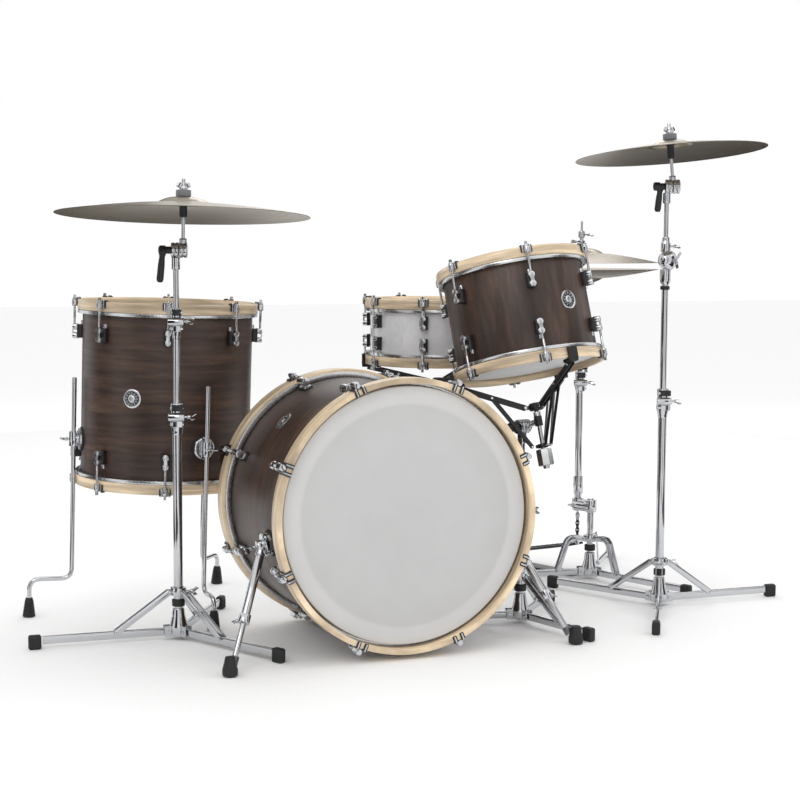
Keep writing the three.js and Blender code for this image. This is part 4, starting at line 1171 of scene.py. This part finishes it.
def right_stand():
    place = standing(RIGHT_POLE)
    outer, middle, inner = RIGHT["tubes"]
    base = tripod(RIGHT["reach"], thirds(RIGHT["turn"]), outer)
    base += tube_with_clamp(outer, middle + 0.3 * MM, 34 * MM, RIGHT["base_top"], RIGHT["base_clamp"])
    make("right_stand_flush_base", base, "kit_frame", place, ["right_stand_base"])
    ball = Vector(joint("right_stand_boom_tilt")["pos_m"]) - RIGHT_POLE
    ball_axis = Vector(joint("right_stand_boom_tilt")["axis"]).normalized()
    pivot = Vector(joint("right_stand_tilt")["pos_m"]) - RIGHT_POLE
    low, high = RIGHT["tube"]
    neck = [(0, high - 34 * MM), (10 * MM, high - 34 * MM), (13 * MM, high - 24 * MM),
            (13 * MM, high + 4 * MM), (0, high + 5 * MM)]
    tube = [(rod(middle, low, high, 0.8 * MM, MEDIUM), CHROME),
            (revolve(softened(neck, 1.5 * MM), MEDIUM), CHROME)]
    tube += boom_joint_half(ball, ball_axis, -1)
    tube += [(pipe(11.5 * MM, middle, high - 46 * MM, high - 37 * MM, 1 * MM), RUBBER)]
    make("right_stand_tube_chromed", tube, "right_stand_tube", place, ["right_stand_tube"])
    top = RIGHT["boom_top"]
    socket = [(0, ball.z + 20 * MM), (12 * MM, ball.z + 20 * MM), (12 * MM, ball.z + 40 * MM),
              (9 * MM, ball.z + 48 * MM),
              (9 * MM, ball.z + 56 * MM), (0, ball.z + 56 * MM)]
    boom = [(rod(inner, ball.z + 24 * MM, top, 0.8 * MM, MEDIUM), CHROME),
            (revolve(softened(socket, 1.5 * MM), MEDIUM), CHROME),
            (rod(9.5 * MM, top - 22 * MM, top + 4 * MM, 1.5 * MM, MEDIUM), CHROME)]
    boom += boom_joint_half(ball, ball_axis, 1)
    boom += screw_at(ball + ball_axis * 22 * MM, ball_axis, 8 * MM, 22 * MM)
    boom += screw_at(ball + Vector((0, 0, 34 * MM)) + AUDIENCE_RIGHT * 14 * MM, AUDIENCE_RIGHT, 6 * MM,
                     13 * MM)
    boom += tilter_half(pivot, AUDIENCE_RIGHT, -1) + ratchet_handle(pivot, AUDIENCE_RIGHT, 62 * MM, 0.1,
                                                                    12 * MM)
    make("right_stand_boom_chromed", boom, "right_stand_boom", place, ["right_stand_boom"])
    crown("right", RIGHT["lean"], RIGHT_CYMBAL)


right_stand()

# %% [markdown]
# ## The hi-hat stand
# Two cymbals face each other: the lower rests on a seat on the tube, the upper is clamped to a rod
# that the pedal pulls down by a chain.  An offset block sets the tube beside the leg post, over the
# pedal.

# %% Hi-hat base, block and pedal frame
HIHAT = {"reach": 318 * MM, "turns": [-68.5, 51.5, 171.5], "post": 8.5 * MM, "block": [182 * MM, 211 * MM],
         "outer": 9.5 * MM, "clamp": [512 * MM, 557 * MM], "tube": 7 * MM, "seat": 776 * MM,
         "tube_low": 420 * MM,
         "rod": 3 * MM, "rod_low": 158 * MM, "rod_top": 958 * MM, "bottom_rim": 830.5 * MM,
         "top_rim": 849 * MM,
         "cymbal": [203.2 * MM, 38 * MM, 58 * MM], "offset": 45 * MM}
PEDAL = {"turn": 111.5, "length": 250 * MM, "width": 84 * MM, "toe": 88 * MM, "heel": 34 * MM}
PULL_POLE = pole("hihat_pull_rod")
POST_POLE = PULL_POLE - Vector((cos(radians(PEDAL["turn"])), sin(radians(PEDAL["turn"])),
                                0)) * HIHAT["offset"]


def hihat_base():
    place = standing(POST_POLE)
    over = PULL_POLE - POST_POLE
    low, high = HIHAT["block"]
    middle = (low + high) / 2
    direction = over.normalized()
    parts = tripod(HIHAT["reach"], HIHAT["turns"], HIHAT["post"], bowed=True)
    parts.append((rod(HIHAT["post"], 10 * MM, high + 6 * MM, 1.5 * MM, MEDIUM), CHROME))
    turn = Matrix.Rotation(atan2(direction.y, direction.x), 4, "Z")
    body = block(over.length + 6 * MM, 24 * MM, high - low, 6 * MM, 2 * MM)
    parts.append((put(body, turn @ moved(over.length / 2, 0, middle)), CHROME))
    for x in (0, over.length):
        parts.append((put(pipe(15.5 * MM, 8 * MM, low - 2 * MM, high + 2 * MM, 2 * MM),
                          turn @ moved(x, 0, 0)), CHROME))
    heart = over / 2 + Vector((0, 0, middle))
    start = heart - direction.cross(Vector((0, 0, 1))) * 12 * MM
    barrel = aim(rod(10.5 * MM, -26 * MM, 26 * MM, 2 * MM, MEDIUM), start, start + direction)
    parts.append((barrel, CHROME))
    parts += screw_at(heart - AUDIENCE_RIGHT * 30 * MM, -AUDIENCE_RIGHT, 20 * MM, 9 * MM)
    clamp_low, clamp_high = HIHAT["clamp"]
    column = [(pipe(HIHAT["outer"], 7.3 * MM, high, clamp_high, 0.8 * MM), CHROME),
              (pipe(12.5 * MM, HIHAT["outer"], high + 14 * MM, high + 62 * MM, 2 * MM), CHROME),
              *clamp(HIHAT["outer"] - 1 * MM, clamp_low, clamp_high, 7.3 * MM)]
    parts += [(put(shape, moved(*over)), material) for shape, material in column]
    make("hihat_flush_base", parts, "kit_frame", place, ["hihat_base"])


def pedal_frame():
    place = standing(PULL_POLE) @ turned(PEDAL["turn"])
    length, width = PEDAL["length"], PEDAL["width"]
    plate = put(block(length + 36 * MM, 50 * MM, 4.6 * MM, 12 * MM, 1 * MM),
                moved(length / 2 + 20 * MM, 0, 4 * MM))
    heel = put(block(44 * MM, width - 2 * MM, 20 * MM, 8 * MM, 3 * MM), moved(length + 26 * MM, 0, 11.5 * MM))
    parts = [(plate, BLACK), (heel, BLACK)]
    for side in (-1, 1):
        link = [(8 * MM, side * 13 * MM, 14 * MM), (-42 * MM, side * 10 * MM, 16 * MM)]
        parts.append((wire(link, 3.2 * MM), CHROME))
        parts.append((put(rod(5 * MM, -5 * MM, 5 * MM, 1 * MM),
                          moved(length + 4 * MM, side * 34 * MM, 26 * MM)
                          @ Matrix.Rotation(pi / 2, 4, "X")), CHROME))
    make("hihat_pedal_frame", parts, "kit_frame", place)


hihat_base()
pedal_frame()


# %% Footboard, tube, rod and chain
def footboard():
    slope = atan2(PEDAL["toe"] - PEDAL["heel"], PEDAL["length"])
    place = (standing(PULL_POLE) @ turned(PEDAL["turn"])
             @ moved(PEDAL["length"] / 2, 0, (PEDAL["toe"] + PEDAL["heel"]) / 2) @ Matrix.Rotation(slope, 4,
                                                                                                   "Y"))
    length, width = PEDAL["length"], PEDAL["width"]
    rings = []
    for k in range(13):
        x = -length / 2 + length * k / 12
        half = width / 2 * (0.56 + 0.44 * sin(pi / 2 * min(1, (k + 1) / 7)))
        rings.append([(x, y, z) for y, z in rounded_rectangle(2 * half, 6.4 * MM, 2.6 * MM)])
    parts = [(skinned(rings), BLACK)]
    for k in range(11):
        x = -length * 0.36 + length * 0.76 * k / 10
        span = width * (0.55 if k < 2 else 0.74)
        parts.append((put(block(4 * MM, span, 2.4 * MM, 1.8 * MM, 0.8 * MM), moved(x, 0, 3.6 * MM)), RUBBER))
    hinge = put(rod(4 * MM, -width / 2 + 4 * MM, width / 2 - 4 * MM, 1 * MM), moved(length / 2, 0, 0)
                @ Matrix.Rotation(pi / 2, 4, "X"))
    parts.append((hinge, CHROME))
    parts.append((put(block(16 * MM, 16 * MM, 14 * MM, 3 * MM, 1 * MM),
                      moved(-length / 2 + 2 * MM, 0, 5 * MM)), CHROME))
    make("hihat_footboard_plate", parts, "hihat_footboard", place, ["hihat_footboard"])


def chain(start, end, pitch=9.5 * MM):
    """Wire links, each turned a quarter from the next."""
    link = revolve([((4.6 + 1.5 * cos(a)) * MM,
                     1.5 * MM * sin(a)) for a in [2 * pi * k / 10 for k in range(10)]], 18)
    stretch = Matrix.Diagonal((1.55, 1, 1, 1))
    count = int((start - end) / pitch)
    parts = []
    for k in range(count + 1):
        spot = moved(0, 0, start - pitch * k) @ turned(90 * (k % 2)) @ OUTWARD @ stretch
        parts.append((put(link, spot), BLACK))
    return parts


def pull_parts():
    place = standing(PULL_POLE)
    low = HIHAT["rod_low"]
    grip = [(0, low), (5 * MM, low), (6 * MM, low + 3 * MM), (6 * MM, low + 12 * MM),
            (3.4 * MM, low + 16 * MM), (0, low + 16 * MM)]
    rods = [(rod(HIHAT["rod"], low, HIHAT["rod_top"], 1 * MM), CHROME),
            (revolve(softened(grip, 1 * MM), SMALL), CHROME)]
    make("hihat_rod_chromed", rods, "hihat_pull_rod", place, ["hihat_pull_rod"])
    make("hihat_chain", chain(low - 4 * MM, PEDAL["toe"] + 14 * MM), "hihat_pull_rod", place)
    seat_top = HIHAT["bottom_rim"] - HIHAT["cymbal"][1]
    tube = [(pipe(HIHAT["tube"], 3.6 * MM, HIHAT["tube_low"], HIHAT["seat"] + 8 * MM, 0.8 * MM), CHROME)]
    cup = [(3.6 * MM, HIHAT["seat"] - 6 * MM), (8.5 * MM, HIHAT["seat"] - 6 * MM), (9.5 * MM, HIHAT["seat"]),
           (17 * MM, HIHAT["seat"] + 3 * MM), (17 * MM, HIHAT["seat"] + 7 * MM),
           (3.6 * MM, HIHAT["seat"] + 7 * MM)]
    felt = pipe(14 * MM, 4 * MM, HIHAT["seat"] + 7.2 * MM, seat_top - 0.6 * MM, 1.5 * MM)
    tube += [(revolve(softened(cup, 1 * MM), MEDIUM), CHROME)]
    make("hihat_tube_chromed", tube, "hihat_tube", place, ["hihat_tube"])
    make("hihat_seat_felt", [(felt, FELT)], "hihat_tube", place)


footboard()
pull_parts()


# %% Hi-hat cymbals and clutch
def hats():
    radius, rise, bell = HIHAT["cymbal"]
    bottom = standing(PULL_POLE) @ moved(0, 0, HIHAT["bottom_rim"]) @ FLIPPED
    top = standing(PULL_POLE) @ moved(0, 0, HIHAT["top_rim"])
    dress_cymbal("hihat_bottom_lathed", "hihat_tube", "hihat_bottom_cymbal", bottom, radius, rise, bell,
                 HAT_HOLE, BRONZE_TONE)
    dress_cymbal("hihat_top_lathed", "hihat_top", "hihat_top_cymbal", top, radius, rise, bell, HAT_HOLE,
                 BRONZE_TONE)
    seat = HIHAT["top_rim"] + rise
    place = standing(PULL_POLE)
    sleeve = pipe(5.4 * MM, 3.3 * MM, seat - 16 * MM, seat + 46 * MM, 0.8 * MM)
    nut_low = pipe(10 * MM, 3.3 * MM, seat - 17 * MM, seat - 9 * MM, 1.5 * MM)
    nut_high = pipe(9 * MM, 5.4 * MM, seat + 14 * MM, seat + 20 * MM, 1.2 * MM)
    head = pipe(9 * MM, 5.4 * MM, seat + 27 * MM, seat + 44 * MM, 2 * MM)
    parts = [(shape, CHROME) for shape in (sleeve, nut_low, nut_high, head)]
    parts += screw_at(Vector((0, 0, seat + 36 * MM)) + AUDIENCE_RIGHT * 15 * MM, AUDIENCE_RIGHT, 9 * MM,
                      13 * MM)
    parts += screw_at(Vector((0, 0, seat + 17 * MM)) - AUDIENCE_RIGHT * 14 * MM, -AUDIENCE_RIGHT, 7 * MM,
                      11 * MM)
    make("hihat_clutch_chromed", parts, "hihat_top", place, ["hihat_clutch"])
    felts = [(pipe(12.5 * MM, 5.5 * MM, seat + 0.5 * MM, seat + 13 * MM, 2 * MM), FELT),
             (pipe(10.5 * MM, 5.5 * MM, seat - 8.6 * MM, seat - 2.6 * MM, 1.5 * MM), FELT)]
    make("hihat_clutch_felts", felts, "hihat_top", place)


hats()

# %% [markdown]
# ## Basket stands
# A basket is an umbrella turned upside down: three black arms hinge on a hub, stays run down to a
# spider on the screw shaft, and turning the barrel below closes the rubber grips on the drum's hoop.

# %% Basket stands
TOM_BASKET = {"reach": 231.5 * MM, "turn": -74.5, "split": 300 * MM, "drop": 82 * MM}
SNARE_BASKET = {"reach": 230 * MM, "turn": -10, "split": 300 * MM, "drop": 46 * MM}
ARM_TURNS = [158, 38, -82]


def basket_arm(name, body, node_name, drum_place, turn, hoop_outer, drop):
    """Arm, stay and rubber grip in the drum's own frame; x points out along the arm."""
    place = drum_place @ turned(turn)
    root = Vector((24 * MM, 0, -drop))
    tip = Vector((hoop_outer - 6 * MM, 0, -9 * MM))
    along_arm = tip - root
    elbow = root + along_arm * 0.5
    parts = []
    for side in (-5 * MM, 5 * MM):
        shift = Vector((0, side, 0))
        parts.append((strap([root + shift, tip + shift], 13 * MM, 2.6 * MM), BLACK))
    parts.append((strap([root + along_arm * 0.08, tip], 6 * MM, 8 * MM), BLACK))
    spider = Vector((24 * MM, 0, -drop - 93 * MM))
    for side in (-8 * MM, 8 * MM):
        shift = Vector((0, side, 0))
        parts.append((strap([elbow + shift, spider + shift], 9 * MM, 2 * MM), BLACK))
    across = Vector((0, 1, 0))
    for point, radius in ((elbow, 3.6 * MM), (root, 4 * MM), (tip - along_arm * 0.06, 3.4 * MM),
                          (spider, 3 * MM)):
        parts += bolt(point, across, radius, 15 * MM)
    shelf = block(30 * MM, 25 * MM, 9 * MM, 3 * MM, 2 * MM)
    grip = [(hoop_outer - 18 * MM, 0, -5 * MM), (hoop_outer + 4.4 * MM, 0, -5 * MM),
            (hoop_outer + 4.4 * MM, 0, 24 * MM)]
    parts.append((put(shelf, moved(hoop_outer - 7 * MM, 0, -5.2 * MM)), RUBBER))
    parts.append((sweep(bent(grip, 4 * MM), rounded_rectangle(25 * MM, 8 * MM, 2.4 * MM), (1, 0, 0.4)),
                  RUBBER))
    make(name, parts, body, place, [node_name])


def basket_core(name, stand, drum_place, pivot, axis):
    """Hub, shaft, spider and barrel below the drum, and the arm that ties them to the tilter."""
    drop = stand["drop"]
    hub = [(0, -drop - 9 * MM), (15 * MM, -drop - 9 * MM), (17 * MM, -drop - 5 * MM),
           (17 * MM, -drop + 5 * MM),
           (14 * MM, -drop + 9 * MM), (0, -drop + 9 * MM)]
    barrel_low, barrel_high = -drop - 140 * MM, -drop - 101 * MM
    shaft = rod(5.2 * MM, -drop - 142 * MM, -drop, 1 * MM)
    barrel = revolve(softened([(0, barrel_low), (20 * MM, barrel_low), (20 * MM, barrel_high),
                               (0, barrel_high)],
                              3 * MM), 8)
    parts = [(revolve(softened(hub, 1.5 * MM), MEDIUM), BLACK), (shaft, CHROME), (barrel, STEEL),
             (rod(8 * MM, barrel_low - 7 * MM, barrel_low + 1 * MM, 1 * MM), STEEL),
             (pipe(9 * MM, 5 * MM, -drop - 46 * MM, -drop - 12 * MM, 1.5 * MM), CHROME),
             (rod(13 * MM, -drop - 98 * MM, -drop - 88 * MM, 2 * MM, MEDIUM), BLACK)]
    for turn in ARM_TURNS:
        cheek = block(24 * MM, 8 * MM, 9 * MM, 2.5 * MM, 1 * MM)
        parts.append((put(cheek, turned(turn) @ moved(15 * MM, 0, -drop)), BLACK))
        short = block(14 * MM, 8 * MM, 8 * MM, 2.5 * MM, 1 * MM)
        parts.append((put(short, turned(turn) @ moved(10 * MM, 0, -drop - 93 * MM)), BLACK))
    make(f"{name}_basket_core", parts, f"{name}_basket", drum_place)
    shaft_point = drum_place @ Vector((0, 0, -drop - 34 * MM))
    start = pivot + axis * 12 * MM
    link = [(wire([start, shaft_point], 7.5 * MM, 20), CHROME), *tilter_half(pivot, axis, 1),
            (aim(rod(9.5 * MM, -12 * MM, 12 * MM, 2 * MM, MEDIUM), shaft_point,
                 shaft_point + (drum_place.to_3x3() @ Vector((0, 0, 1)))), BLACK)]
    link += screw_at(pivot + axis * 18 * MM, axis, 4 * MM, 17 * MM)
    make(f"{name}_basket_link", link, f"{name}_basket", replaces=[f"{name}_stand_basket"])


def basket_stand(name, stand, drum_place, drum_radius):
    stand_pole = pole(f"{name}_stand_riser")
    tilt = joint(f"{name}_stand_tilt")
    pivot, axis = Vector(tilt["pos_m"]), Vector(tilt["axis"]).normalized()
    stand_pole = Vector((pivot.x, pivot.y, 0))
    place = standing(stand_pole)
    base = tripod(stand["reach"], thirds(stand["turn"]), 10.5 * MM)
    base += tube_with_clamp(10.5 * MM, 8.3 * MM, 34 * MM, stand["split"], stand["split"] - 48 * MM)
    make(f"{name}_stand_flush_base", base, "kit_frame", place, [f"{name}_stand_base"])
    riser = [(rod(8 * MM, stand["split"] - 120 * MM, pivot.z - 18 * MM, 0.8 * MM, MEDIUM), CHROME),
             (rod(11 * MM, pivot.z - 40 * MM, pivot.z - 14 * MM, 2 * MM, MEDIUM), CHROME)]
    riser += tilter_half(pivot - stand_pole, axis, -1) + ratchet_handle(pivot - stand_pole, axis, 46 * MM,
                                                                        0.3)
    make(f"{name}_stand_riser_chromed", riser, f"{name}_stand_riser", place, [f"{name}_stand_riser"])
    basket_core(name, stand, drum_place, pivot, axis)
    outer = drum_radius + HOOP_CLEAR + HOOP_WALL
    for i, turn in enumerate(ARM_TURNS, 1):
        basket_arm(f"{name}_basket_arm_{i}", f"{name}_arm_{i}", f"{name}_stand_arm_{i}", drum_place, turn,
                   outer,
                   stand["drop"])
    print(name, "basket hangs at", round(pivot.z * 1000), "mm")


basket_stand("tom", TOM_BASKET, rack_place, rack_radius)
basket_stand("snare", SNARE_BASKET, snare_place, snare_radius)
